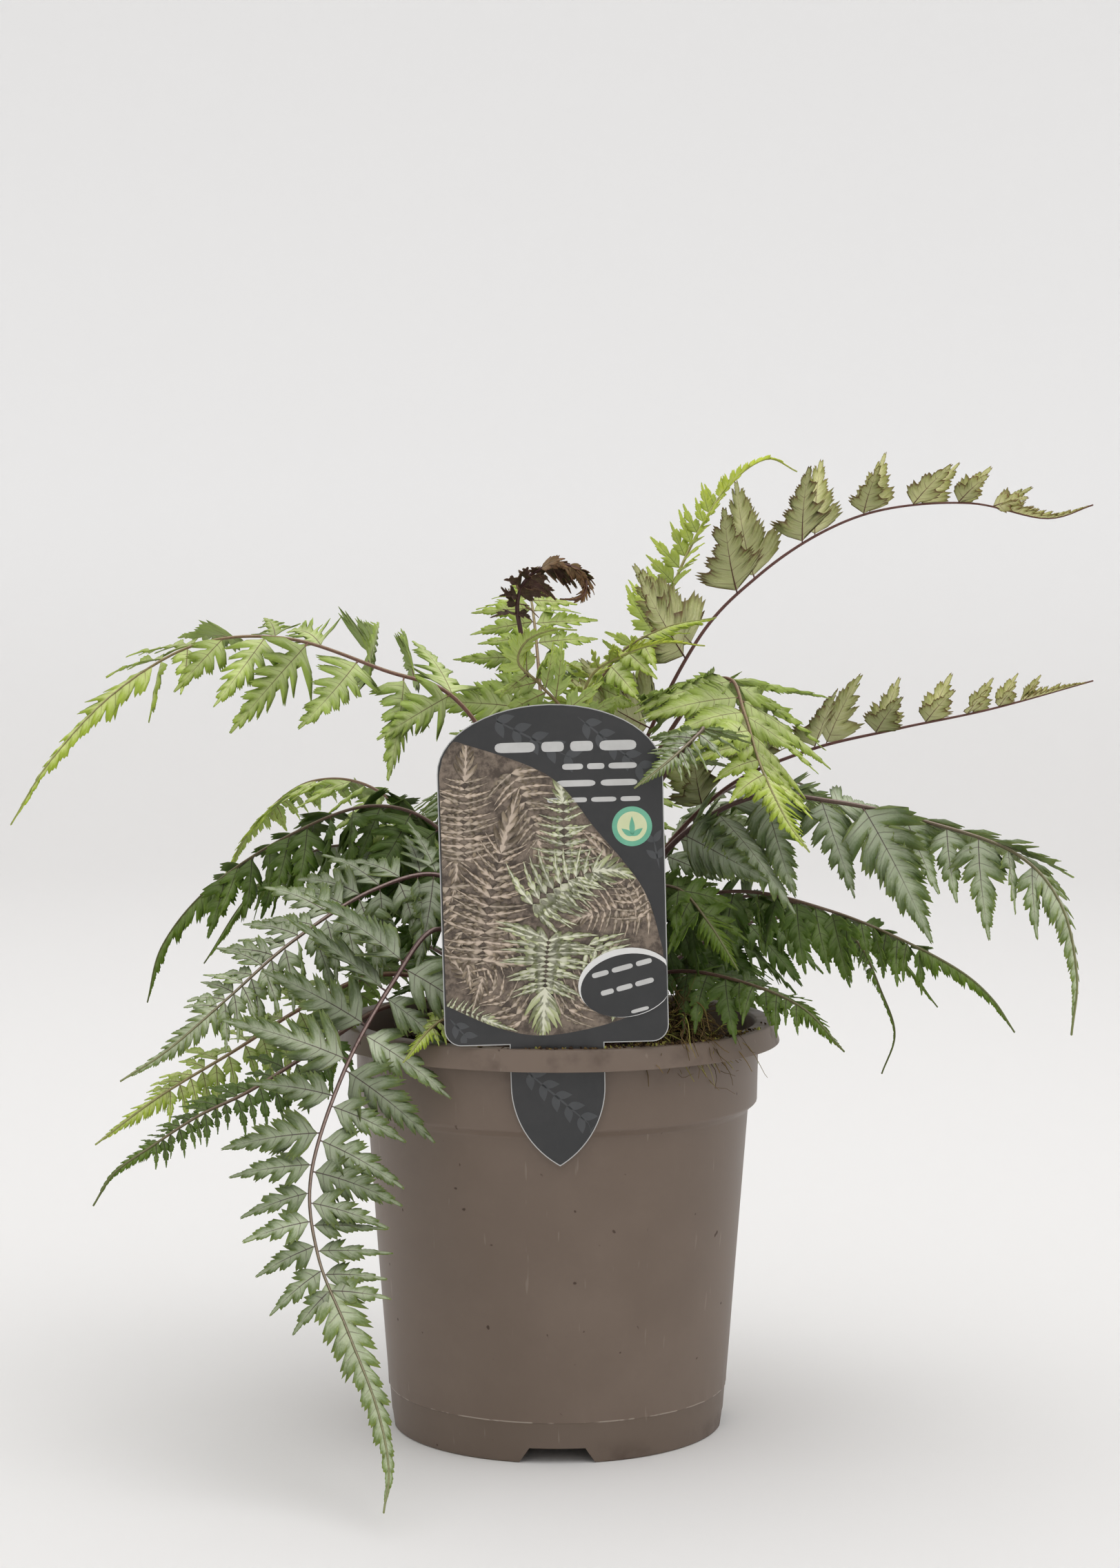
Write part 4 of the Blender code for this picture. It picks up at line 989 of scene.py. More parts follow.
FRONDS = (
    Frond("upper_left", Ring.INNER, 190,
          ((-14, 6, 205), (-22, 6, 250), (-40, 4, 278), (-66, 3, 288), (-102, 0, 300),
           (-136, -6, 298), (-166, -14, 280), (-190, -20, 254), (-204, -24, 231)),
          0.40, 40, 12, -28, Habit(Tone.FRESH, fullness=1.35, spacing=0.42, twist=34,
                ahead=(8, 42), pinna_width=0.32, unruly=2.2, tail=0.62)),
    Frond("upper_right", Ring.INNER, 25,
          ((15, 12, 200), (32, 20, 255), (55, 28, 300), (78, 30, 324), (103, 30, 341),
           (128, 28, 350), (160, 24, 352), (188, 18, 346), (205, 12, 351)),
          0.36, 44, -62, 12, Habit(Tone.PALE, ahead=(4, 48), spacing=0.8, pinna_width=0.44,
                droop=0.0, twist=18, deep_shaded=0.7, lobes=6, tail=0.84, stagger=0.08, unruly=1.5,
                fullness=1.15)),
    Frond("pale_right", Ring.MIDDLE, 62,
          ((13, 26, 205), (27, 42, 270), (45, 54, 318), (58, 60, 345), (70, 64, 362),
           (84, 66, 371), (96, 68, 366)),
          0.52, 20, -35, 10, Habit(Tone.LIME, ahead=(20, 50), spacing=0.4, unruly=1.5,
                pinna_width=0.34)),
    Frond("right_second", Ring.MIDDLE, 8,
          ((32, 8, 205), (62, 14, 240), (95, 18, 256), (130, 14, 265), (166, 8, 273),
           (204, 2, 284)),
          0.38, 32, -60, 16, Habit(Tone.PALE, ahead=(8, 48), spacing=0.86, pinna_width=0.44,
                droop=0.0, twist=18, deep_shaded=0.7, lobes=6, tail=0.84, stagger=0.08, fullness=1.15)),
    Frond("right_middle", Ring.MIDDLE, -18,
          ((26, -12, 190), (42, -18, 222), (72, -22, 241), (102, -27, 240), (136, -35, 233),
           (168, -43, 222), (184, -48, 204), (190, -50, 178), (188, -52, 156)),
          0.30, 42, 24, 24, Habit(Tone.SILVER, spacing=0.4, pinna_width=0.34, droop=0.22,
                thick=1.35, fullness=1.35, tail=0.70, twist=34, ahead=(18, 56), unruly=2.6)),
    Frond("right_low", Ring.OUTER, -26,
          ((32, -18, 186), (48, -28, 203), (72, -36, 207), (100, -46, 201), (122, -56, 193),
           (144, -65, 182), (156, -70, 172), (164, -73, 160)),
          0.27, 30, 40, 20, Habit(Tone.DEEP_SHADED, droop=0.25, twist=32, unruly=2.4, spacing=0.29,
                pinna_width=0.36)),
    Frond("right_curled", Ring.OUTER, -2,
          ((40, -1, 184), (68, 1, 201), (94, 3, 198), (114, 2, 185), (124, 0, 165),
           (129, -2, 149), (124, -3, 134)),
          0.28, 22, 30, 10, Habit(Tone.DEEP_SHADED, droop=0.3, taper=1.4, unruly=2.0, pinna_width=0.36,
                twist=30)),
    Frond("rim_right", Ring.OUTER, -46,
          ((26, -28, 170), (44, -40, 178), (66, -52, 176), (88, -64, 168), (103, -73, 153)),
          0.36, 28, 20, 14, Habit(Tone.DEEP_SHADED, withered=0.9, twist=22, unruly=2.0, spacing=0.27)),
    Frond("centre_right", Ring.INNER, -30,
          ((18, -2, 205), (36, 1, 252), (54, -2, 280), (65, -16, 285), (69, -36, 273),
           (74, -56, 254), (82, -74, 236), (89, -86, 226)),
          0.5, 46, 8, 0, Habit(Tone.FRESH, deep_shaded=0.6, pinna_width=0.3, spacing=0.27, twist=6)),
    Frond("label_edge", Ring.MIDDLE, -68,
          ((14, -24, 195), (34, -44, 242), (50, -60, 266), (51, -76, 268), (40, -89, 259),
           (27, -94, 249)),
          0.66, 20, 10, 0, Habit(Tone.SILVER, twist=18)),
    Frond("young_centre", Ring.MIDDLE, -100,
          ((0, -20, 195), (4, -42, 240), (4, -54, 270), (-6, -58, 284), (-14, -60, 292),
           (-11, -62, 300), (-2, -64, 304), (7, -65, 304)),
          0.46, 27, -10, 0, Habit(Tone.FRESH, spacing=0.32, twist=40, pinna_width=0.36,
                unruly=2.0)),
    Frond("crozier", Ring.INNER, -120,
          ((-6, -7, 205), (-9, -12, 262), (-13, -16, 298), (-15, -17, 313), (-11, -18, 323),
           (-1, -19, 328), (8, -20, 326), (11, -21, 320), (8, -22, 315), (1, -22, 315)),
          0.74, 9, 30, 0, Habit(Tone.BUD, spacing=0.24, twist=60, droop=0.5, tail=0.8,
                pinna_width=0.5, ahead=(30, 75), taper=0.4, deep_shaded=0.5, unruly=3.0)),
    Frond("centre_back", Ring.INNER, 75,
          ((4, 17, 212), (9, 17, 264), (22, 10, 292), (41, 3, 304), (60, -3, 308)),
          0.52, 42, 22, 14, Habit(Tone.FRESH, twist=22, unruly=2.0, spacing=0.3)),
    Frond("lime_centre", Ring.INNER, -72,
          ((4, -14, 208), (7, -28, 256), (11, -35, 284), (23, -38, 294), (39, -40, 299),
           (54, -42, 298)),
          0.5, 23, -20, 0, Habit(Tone.LIME, unruly=1.5, twist=30)),
    Frond("left_dark", Ring.MIDDLE, 184,
          ((-26, 2, 198), (-46, 3, 228), (-72, 5, 236), (-104, 7, 224), (-134, 8, 204),
           (-152, 8, 182), (-158, 8, 160)),
          0.26, 42, 28, -24, Habit(Tone.DEEP_SHADED, twist=32, unruly=2.4, spacing=0.29,
                pinna_width=0.36)),
    Frond("left_back", Ring.OUTER, 160,
          ((-34, 14, 190), (-60, 22, 214), (-90, 32, 218), (-120, 42, 200), (-141, 50, 170)),
          0.28, 38, 26, -16, Habit(Tone.DEEP_SHADED, twist=32, unruly=2.4, spacing=0.29,
                pinna_width=0.36)),
    Frond("left_middle", Ring.MIDDLE, 214,
          ((-22, -16, 188), (-42, -30, 212), (-68, -40, 208), (-97, -50, 190), (-120, -57, 170),
           (-141, -62, 152), (-158, -65, 141)),
          0.36, 32, 12, -44, Habit(Tone.SILVER, spacing=0.25, twist=24, unruly=1.9,
                pinna_width=0.34)),
    Frond("left_low", Ring.OUTER, 200,
          ((-40, -10, 168), (-67, -18, 174), (-93, -28, 164), (-120, -40, 148), (-146, -51, 133),
           (-168, -60, 117)),
          0.42, 26, 22, -40, Habit(Tone.FRESH, withered=1.0, unruly=1.6)),
    Frond("left_trailing", Ring.OUTER, 216,
          ((-36, -26, 164), (-62, -46, 166), (-86, -60, 153), (-110, -72, 139), (-128, -80, 131),
           (-144, -85, 121), (-157, -89, 112), (-164, -92, 101)),
          0.46, 17, 14, -36, Habit(Tone.DEEP_SHADED, twist=22, unruly=1.8)),
    Frond("front_left", Ring.OUTER, 232,
          ((-27, -34, 178), (-44, -52, 195), (-60, -67, 176), (-76, -80, 147), (-87, -91, 112),
           (-84, -100, 85), (-73, -111, 61), (-62, -126, 38), (-57, -142, 21), (-58, -155, 10)),
          0.30, 45, 0, 0, Habit(Tone.SILVER, ahead=(-4, 26), droop=0.04, tail=0.60,
                pinna_width=0.34, spacing=0.345, unruly=1.4, taper=1.08, twist=22), turn=34),
    Frond("rim_left", Ring.OUTER, 250,
          ((-15, -36, 158), (-30, -54, 166), (-44, -68, 162), (-55, -79, 150)),
          0.4, 19, 14, -10, Habit(Tone.FRESH)),
    Frond("label_right", Ring.MIDDLE, -54,
          ((18, -28, 184), (32, -44, 207), (44, -56, 210), (55, -64, 198), (65, -71, 182)),
          0.4, 34, 16, 14, Habit(Tone.DEEP_SHADED, twist=32, unruly=2.4, spacing=0.27,
                pinna_width=0.36)),
    Frond("back_right", Ring.MIDDLE, 40,
          ((32, 30, 198), (60, 54, 234), (92, 80, 242), (120, 102, 224), (138, 116, 196)),
          0.34, 34, 24, 0, Habit(Tone.SILVER, unruly=2.0)),
    Frond("back_middle", Ring.MIDDLE, 84,
          ((9, 46, 204), (17, 82, 246), (24, 112, 250), (30, 138, 228), (34, 156, 196)),
          0.34, 36, 22, 0, Habit(Tone.FRESH, unruly=2.0)),
    Frond("back_left", Ring.MIDDLE, 112,
          ((-17, 43, 200), (-31, 78, 236), (-43, 107, 238), (-53, 132, 214), (-60, 148, 184)),
          0.36, 30, 24, 0, Habit(Tone.SILVER, unruly=2.0)),
    Frond("back_far_left", Ring.MIDDLE, 138,
          ((-39, 31, 202), (-69, 54, 237), (-100, 79, 241), (-126, 101, 221), (-143, 116, 193)),
          0.3, 29, 24, 0, Habit(Tone.FRESH, unruly=2.0)),
    Frond("back_low_right", Ring.OUTER, 55,
          ((30, 44, 166), (52, 74, 178), (70, 100, 164), (80, 116, 134), (84, 124, 102)),
          0.26, 32, 14, 0, Habit(Tone.DEEP_SHADED, unruly=2.0)),
    Frond("back_low_middle", Ring.OUTER, 92,
          ((-2, 48, 166), (-4, 84, 178), (-6, 112, 164), (-8, 130, 134), (-8, 138, 104)),
          0.40, 28, 14, 0, Habit(Tone.SILVER)),
    Frond("back_low_left", Ring.OUTER, 128,
          ((-34, 42, 166), (-58, 70, 176), (-78, 94, 160), (-92, 110, 132), (-97, 118, 104)),
          0.26, 32, 14, 0, Habit(Tone.DEEP_SHADED, unruly=2.0)),
    Frond("back_upright", Ring.INNER, 108,
          ((-3, 24, 215), (-6, 36, 268), (-9, 54, 304), (-12, 78, 320), (-15, 104, 314)),
          0.46, 40, 16, 0, Habit(Tone.FRESH, twist=26, unruly=2.0, spacing=0.3)),
    Frond("back_side", Ring.OUTER, 22,
          ((42, 20, 172), (76, 36, 188), (108, 50, 186), (136, 61, 172), (154, 68, 150)),
          0.28, 34, 22, 8, Habit(Tone.DEEP_SHADED, spacing=0.28, unruly=2.0, pinna_width=0.36,
                twist=28)),
)


# ------------------------------------------------------------------ solids of revolution
def rounded(corners: list[tuple[float, float, float]], longest: float) -> np.ndarray:
    """Round the corners of a profile and divide its long stretches.

    A corner of radius r becomes the curve (1 - s)^2 * a + 2s(1 - s) * corner + s^2 * b,
    whose ends a and b lie r * tan(half the turn) before and after it.

    Args:
        corners: Radius, height and rounding of each corner.
        longest: The longest stretch left undivided.

    Returns:
        The profile's points, n by 2.
    """
    points = np.array([corner[:2] for corner in corners])
    out = [points[:1]]
    s = np.linspace(0.0, 1.0, 5)[:, None]
    for index in range(1, len(points) - 1):
        here = points[index]
        back, ahead = unit(points[index - 1] - here), unit(points[index + 1] - here)
        turn = math.pi - math.acos(float(np.clip(back @ ahead, -1.0, 1.0)))
        cut = corners[index][2] * math.tan(turn / 2)
        if cut < 1e-6:
            out.append(here[None])
            continue
        a, b = here + back * cut, here + ahead * cut
        out.append((1 - s) ** 2 * a + 2 * s * (1 - s) * here + s ** 2 * b)
    out.append(points[-1:])
    profile = np.vstack(out)
    gaps = np.linalg.norm(np.diff(profile, axis=0), axis=1)
    counts = np.maximum(1, np.ceil(gaps / longest)).astype(int)
    place = np.concatenate([np.linspace(i, i + 1, n, endpoint=False)
                            for i, n in enumerate(counts)] + [[len(gaps)]])
    index = np.arange(len(profile))
    return np.stack([np.interp(place, index, profile[:, axis]) for axis in (0, 1)], axis=1)


def add_turned(shell: Shell, profile: np.ndarray, segments: int,
               shape: Callable[[np.ndarray], np.ndarray] | None = None,
               place: np.ndarray | None = None) -> None:
    """Add a solid of revolution: the point (r cos a, r sin a, z) for each profile point.

    Args:
        shell: The mesh to add to.
        profile: Radius and height, from a point on the axis to another on the axis.  It is
            taken in the order that makes the faces look outward.
        segments: Points round the axis.
        shape: A change to the points, rings by segments by 3, or none.
        place: Marks of all points, or none.
    """
    angle = np.arange(segments) * 2 * math.pi / segments
    swept = np.sum(profile[:-1, 0] * profile[1:, 1] - profile[1:, 0] * profile[:-1, 1])
    if swept > 0.0:
        profile = profile[::-1]
    radius, height = profile[1:-1, 0][:, None], profile[1:-1, 1][:, None]
    rings = np.stack([radius * np.cos(angle), radius * np.sin(angle),
                      np.broadcast_to(height, (len(profile) - 2, segments))], axis=-1)
    if shape is not None:
        rings = shape(rings)
    poles = np.stack([rings[0].mean(axis=0), rings[-1].mean(axis=0)])
    first = shell.add_points(np.concatenate([rings.reshape(-1, 3), poles]), place)
    rows = len(profile) - 2
    shell.add_faces(first + grid_faces(rows, segments, wrap=True))
    ring, pole = first + np.arange(segments), first + rows * segments
    shell.add_fan(pole, ring)
    shell.add_fan(pole + 1, ring + (rows - 1) * segments, flip=True)


def lumps(points: np.ndarray, size: float, seed: int, waves: int = 24) -> np.ndarray:
    """Give a bumpy value, about -1 to 1, at each point.

    It is the sum of sines of random directions, whose lengths lie round the wanted size,
    divided by the root of their number.

    Args:
        points: Points, any shape by 3.
        size: Usual distance between two bumps.
        seed: Choice of the bumps.
        waves: How many sines are added.

    Returns:
        The values.
    """
    rng = np.random.default_rng(seed)
    ways = unit(rng.normal(size=(waves, 3))) * 2 * math.pi / (
        size * rng.uniform(0.5, 1.8, (waves, 1)))
    phase = rng.uniform(0.0, 2 * math.pi, waves)
    return np.sin(points @ ways.T + phase).sum(axis=-1) / math.sqrt(waves)


CHIP = np.array([(0, 0, 1), (1, 0, 0), (0, 1, 0), (-1, 0, 0), (0, -1, 0), (0, 0, -1),
                 (0.7, 0.7, 0.3), (-0.7, -0.7, -0.3)], dtype=float)
CHIP_FACES = np.array([(0, 1, 6), (0, 6, 2), (6, 1, 2), (0, 2, 3), (0, 3, 4), (0, 4, 1),
                       (5, 2, 1), (5, 3, 2), (5, 1, 4), (5, 4, 7), (5, 7, 3), (7, 4, 3)])


def add_chips(shell: Shell, centres: np.ndarray, sizes: np.ndarray, seed: int,
              tones: np.ndarray) -> None:
    """Add small angular chips: an eight-cornered body, stretched and turned at random.

    Args:
        shell: The mesh to add to.
        centres: Middle of each chip, n by 3.
        sizes: Half sizes of each chip, n by 3.
        seed: Choice of the turns.
        tones: A mark from 0 to 1 for each chip.
    """
    rng = np.random.default_rng(seed)
    spins = unit(rng.normal(size=(len(centres), 4)))
    a, b, c, d = spins.T
    turn = np.stack([1 - 2 * (c * c + d * d), 2 * (b * c - a * d), 2 * (b * d + a * c),
                     2 * (b * c + a * d), 1 - 2 * (b * b + d * d), 2 * (c * d - a * b),
                     2 * (b * d - a * c), 2 * (c * d + a * b), 1 - 2 * (b * b + c * c)],
                    axis=1).reshape(-1, 3, 3)
    body = CHIP * (1.0 + 0.25 * rng.normal(size=(len(centres), len(CHIP), 1)))
    corners = np.einsum("nij,nkj->nki", turn, body * sizes[:, None, :]) + centres[:, None]
    marks = np.zeros((len(centres), len(CHIP), 4))
    marks[..., 3] = tones[:, None]
    first = shell.add_points(corners.reshape(-1, 3), marks.reshape(-1, 4))
    steps = np.arange(len(centres))[:, None, None] * len(CHIP)
    shell.add_faces(first + (CHIP_FACES + steps).reshape(-1, 3), smooth=False)


# ------------------------------------------------------------------ shared surface effects
class Effects:
    """Groups for plastic that has seen soil: grime, and fine moulded grain."""

    def __init__(self) -> None:
        """Build both groups."""
        self.grime = self.make_grime()
        self.grain = self.make_grain()

    def make_grime(self) -> Effect:
        """Build the group for soil: specks all over, and smears under a height mask.

        Returns:
            The group.
        """
        made = Effect("grime", {"speck_scale": 260.0, "smear": 0.0}, ("mask", "dust"))
        w, given, out = made.wiring, made.given, made.results
        where = w.coordinates()
        specks = w.ramp(w.noise(where, given["speck_scale"], 1.0, 0.5), 0.765, 0.80)
        cloud = w.noise(where, 45.0, 4.0, 0.65)
        smear = w.times(w.ramp(cloud, 0.50, 0.72), given["smear"])
        w.join(w.math("MAXIMUM", specks, smear), out["mask"])
        w.join(w.ramp(w.noise(where, 14.0, 5.0, 0.6), 0.35, 0.75), out["dust"])
        return made

    def make_grain(self) -> Effect:
        """Build the group for a moulded skin: fine grain and long faint scuffs.

        Returns:
            The group.
        """
        made = Effect("moulded_grain", {"scuff_level": 0.70}, ("height", "scuff"))
        w, given, out = made.wiring, made.given, made.results
        where = w.coordinates()
        fine = w.noise(where, 1900.0, 2.0, 0.6)
        soft = w.noise(where, 240.0, 2.0, 0.5)
        w.join(w.plus(w.times(fine, 0.6), w.times(soft, 0.4)), out["height"])
        lines = w.noise(w.stretched(where, (1.0, 1.0, 0.10)), 420.0, 2.0, 0.5)
        level = w.less(lines, given["scuff_level"])
        w.join(w.ramp(level, 0.0, 0.06), out["scuff"])
        return made


# ------------------------------------------------------------------ the pot
@dataclass(frozen=True)
class Pot:
    """The moulded nursery pot: one thin shell with collar, lip, notched foot and floor."""

    segments: int = 240
    base_radius: float = 0.0632
    wall: float = 0.0015
    lip_lean: float = 0.0026
    lip_depth: float = 0.0078
    lip_wall: float = 0.0013
    lip_overhang: float = 0.0080
    collar_depth: float = 0.0305
    collar_taper: float = 0.0007
    collar_step: float = 0.0034
    step_height: float = 0.0028
    parting_height: float = 0.0154
    parting_ledge: float = 0.0003
    floor_raise: float = 0.0065
    disc_radius: float = 0.0300
    disc_slope: float = 0.0015
    notch_height: float = 0.0057
    notch_low: float = 0.0140
    notch_top: float = 0.01025
    notch_reach: float = 0.0070
    drain_radius: float = 0.0045
    drain_circle: float = 0.0450
    slot_half: float = 0.0180
    slot_depth: float = 0.0015
    slot_out: float = 0.00125
    overrun: float = 0.0010

    def rim(self) -> tuple[float, float]:
        """Give the pot's widest radius and its height from its solid."""
        low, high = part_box("pot")
        return (high.x - low.x) / 2, high.z

    def wall_radius(self, height: float) -> float:
        """Give the outer radius of the tapered wall at a height."""
        rim, top = self.rim()
        foot = rim - self.lip_overhang - self.collar_taper - self.collar_step
        share = height / (top - self.collar_depth - self.step_height)
        return self.base_radius + (foot - self.base_radius) * share

    def profile(self) -> np.ndarray:
        """Draw the shell's outline: up the inside, over the rim, down the outside."""
        rim, top = self.rim()
        step = top - self.collar_depth
        low = step - self.step_height
        collar = rim - self.lip_overhang
        foot = collar - self.collar_taper
        lip = rim - self.lip_lean
        floor = self.floor_raise + self.wall
        skirt = self.wall_radius(0.0) - self.wall
        part = self.parting_height
        return rounded([
            (0.0, self.wall, 0.0),
            (self.disc_radius - self.wall, self.wall, 0.0008),
            (self.disc_radius - self.wall + self.disc_slope, floor, 0.0008),
            (self.wall_radius(floor) - self.wall, floor, 0.0012),
            (self.wall_radius(low) - self.wall, low, 0.0020),
            (foot - self.wall, step, 0.0015),
            (collar - self.wall, top, 0.0012),
            (lip, top, 0.0012),
            (rim, top - self.lip_depth, 0.0003),
            (rim - self.lip_wall, top - self.lip_depth, 0.0003),
            (lip - self.lip_wall, top - self.wall, 0.0008),
            (collar, top - self.wall, 0.0012),
            (foot, step, 0.0018),
            (self.wall_radius(low), low, 0.0022),
            (self.wall_radius(part) + self.parting_ledge, part, 0.0001),
            (self.wall_radius(part), part - self.parting_ledge, 0.0001),
            (self.wall_radius(0.0), 0.0, 0.0009),
            (skirt, 0.0, 0.0003),
            (skirt, self.floor_raise, 0.0006),
            (self.disc_radius + self.disc_slope, self.floor_raise, 0.0006),
            (self.disc_radius, 0.0, 0.0006),
            (0.0, 0.0, 0.0)], 0.006)

    def uneven(self, rings: np.ndarray) -> np.ndarray:
        """Add flash along the mould line and the faint waviness of a thin wall.

        Args:
            rings: The shell's points.

        Returns:
            The points, their radius changed by up to a third of a millimetre.
        """
        radius = np.linalg.norm(rings[..., :2], axis=-1, keepdims=True)
        out = rings[..., :2] / np.maximum(radius, 1e-9)
        height = rings[..., 2:]
        near = np.exp(-((height - self.parting_height) / 0.0003) ** 2)
        outside = radius > self.wall_radius(self.parting_height) - self.wall / 2
        flash = np.maximum(lumps(rings, 0.006, 31), -0.3)[..., None] * near * outside
        wave = lumps(rings, 0.09, 33)[..., None] * np.clip(height / 0.05, 0.0, 1.0)
        moved = rings.copy()
        moved[..., :2] += out * (0.00016 * flash + 0.00010 * wave)
        return moved

    def cutters(self) -> Shell:
        """Build what is cut away: notches, drain holes and the label's slot."""
        shell = Shell()
        box = np.array([(0, 1, 2, 3), (7, 6, 5, 4), (0, 4, 5, 1), (1, 5, 6, 2),
                        (2, 6, 7, 3), (3, 7, 4, 0)])
        flare = (self.notch_low - self.notch_top) / self.notch_height * self.overrun
        low, top = self.notch_low + flare, self.notch_top
        across = np.array([-low, low, top, -top] * 2)
        height = np.array([-self.overrun, -self.overrun, self.notch_height,
                           self.notch_height] * 2)
        away = np.repeat([self.base_radius + self.notch_reach,
                          self.base_radius - self.notch_reach], 4)
        for angle in np.arange(4) * math.pi / 2 - math.pi / 2:
            out = heading(angle)
            along = np.array([-out[1], out[0], 0.0])
            points = away[:, None] * out + across[:, None] * along + height[:, None] * UP
            shell.add_faces(shell.add_points(points) + box)
        ring = np.linspace(0.0, 2 * math.pi, 25)[:-1]
        for angle in (np.arange(6) + 0.5) * math.pi / 3:
            middle = self.drain_circle * heading(angle)[:2]
            circle = np.stack([np.cos(ring), np.sin(ring)], axis=1) * self.drain_radius
            levels = (self.floor_raise - self.overrun,
                      self.floor_raise + self.wall + self.overrun)
            points = np.concatenate([np.column_stack([middle + circle, np.full(len(ring), level)])
                                     for level in levels]
                                    + [[(*middle, level) for level in levels]])
            first, count = shell.add_points(points), len(ring)
            low_ring = first + np.arange(count)
            after = np.roll(low_ring, -1)
            shell.add_faces(np.stack([low_ring, after, after + count, low_ring + count], axis=1))
            shell.add_fan(first + 2 * count, low_ring, flip=True)
            shell.add_fan(first + 2 * count + 1, low_ring + count)
        rim, height_of_rim = self.rim()
        half = self.slot_half
        y = -(rim - self.lip_overhang + self.slot_out)
        depth = self.slot_depth / 2
        floor = height_of_rim - self.wall - self.overrun
        roof = height_of_rim + self.overrun
        points = np.array([(x, y + side * depth, z) for side in (-1, 1)
                           for x, z in ((-half, floor), (half, floor), (half, roof),
                                        (-half, roof))])
        shell.add_faces(shell.add_points(points) + box)
        return shell

    def make_plastic(self, effects: Effects) -> bpy.types.Material:
        """Make the taupe plastic: grain, scuffs, soil specks and a pale mould line.

        Args:
            effects: The shared groups.

        Returns:
            The material.
        """
        material, w, shader = new_material("pot_plastic", 0.46, 0.42)
        where = w.node("ShaderNodeSeparateXYZ")
        w.join(w.coordinates(), where.inputs[0])
        height = where.outputs["Z"]
        top = self.rim()[1]
        near_rim = w.times(w.ramp(height, top - 0.022, top - 0.001), 0.55)
        near_foot = w.times(w.ramp(height, 0.0, 0.010, 1.0, 0.0), 0.5)
        grain = effects.grain.use(w, scuff_level=0.70)
        soil = effects.grime.use(w, speck_scale=230.0,
                                 smear=w.math("MAXIMUM", near_rim, near_foot))
        colour = w.mix(soil["dust"], tint(109, 94, 82), tint(119, 104, 92))
        colour = w.mix(w.ramp(height, self.parting_height - 0.0004, self.parting_height - 0.0001,
                              0.35, 0.0), colour, tint(96, 83, 72))
        line = w.math("ABSOLUTE", w.less(height, self.parting_height))
        broken = w.ramp(w.noise(w.coordinates(), 160.0, 2.0), 0.42, 0.56)
        flash = w.times(w.ramp(line, 0.00012, 0.00042, 1.0, 0.0), broken)
        colour = w.mix(w.times(flash, 0.75), colour, tint(176, 164, 152))
        colour = w.mix(w.times(grain["scuff"], 0.30), colour, tint(150, 138, 128))
        colour = w.mix(w.times(soil["mask"], 0.80), colour, tint(58, 44, 36))
        w.join(colour, shader["Base Color"])
        rough = w.plus(w.times(soil["dust"], 0.10), w.times(soil["mask"], 0.35))
        w.join(w.plus(rough, 0.42), shader["Roughness"])
        w.join(w.bump(grain["height"], 0.30, 0.00012), shader["Normal"])
        return material

    def build(self, effects: Effects) -> bpy.types.Object:
        """Turn the shell, cut its openings and dress it.

        Args:
            effects: The shared groups.

        Returns:
            The finished pot.
        """
        shell = Shell()
        add_turned(shell, self.profile(), self.segments, self.uneven)
        blank = bpy.data.materials.new("pot_blank")
        whole = shell.build("pot_whole", [blank])
        cutter = self.cutters().build("pot_cutter", [blank])
        modifier = whole.modifiers.new("openings", "BOOLEAN")
        modifier.operation = "DIFFERENCE"
        modifier.solver = "EXACT"
        modifier.object = cutter
        graph = bpy.context.evaluated_depsgraph_get()
        mesh = bpy.data.meshes.new_from_object(whole.evaluated_get(graph))
        for item in (whole, cutter):
            bpy.data.objects.remove(item, do_unlink=True)
        mesh.set_sharp_from_angle(angle=math.radians(34))
        mesh.materials.clear()
        mesh.materials.append(self.make_plastic(effects))
        mesh.name = "nursery_pot"
        item = bpy.data.objects.new("nursery_pot", mesh)
        bpy.context.scene.collection.objects.link(item)
        stand_in(item, "pot", "pot_plastic")
        return item


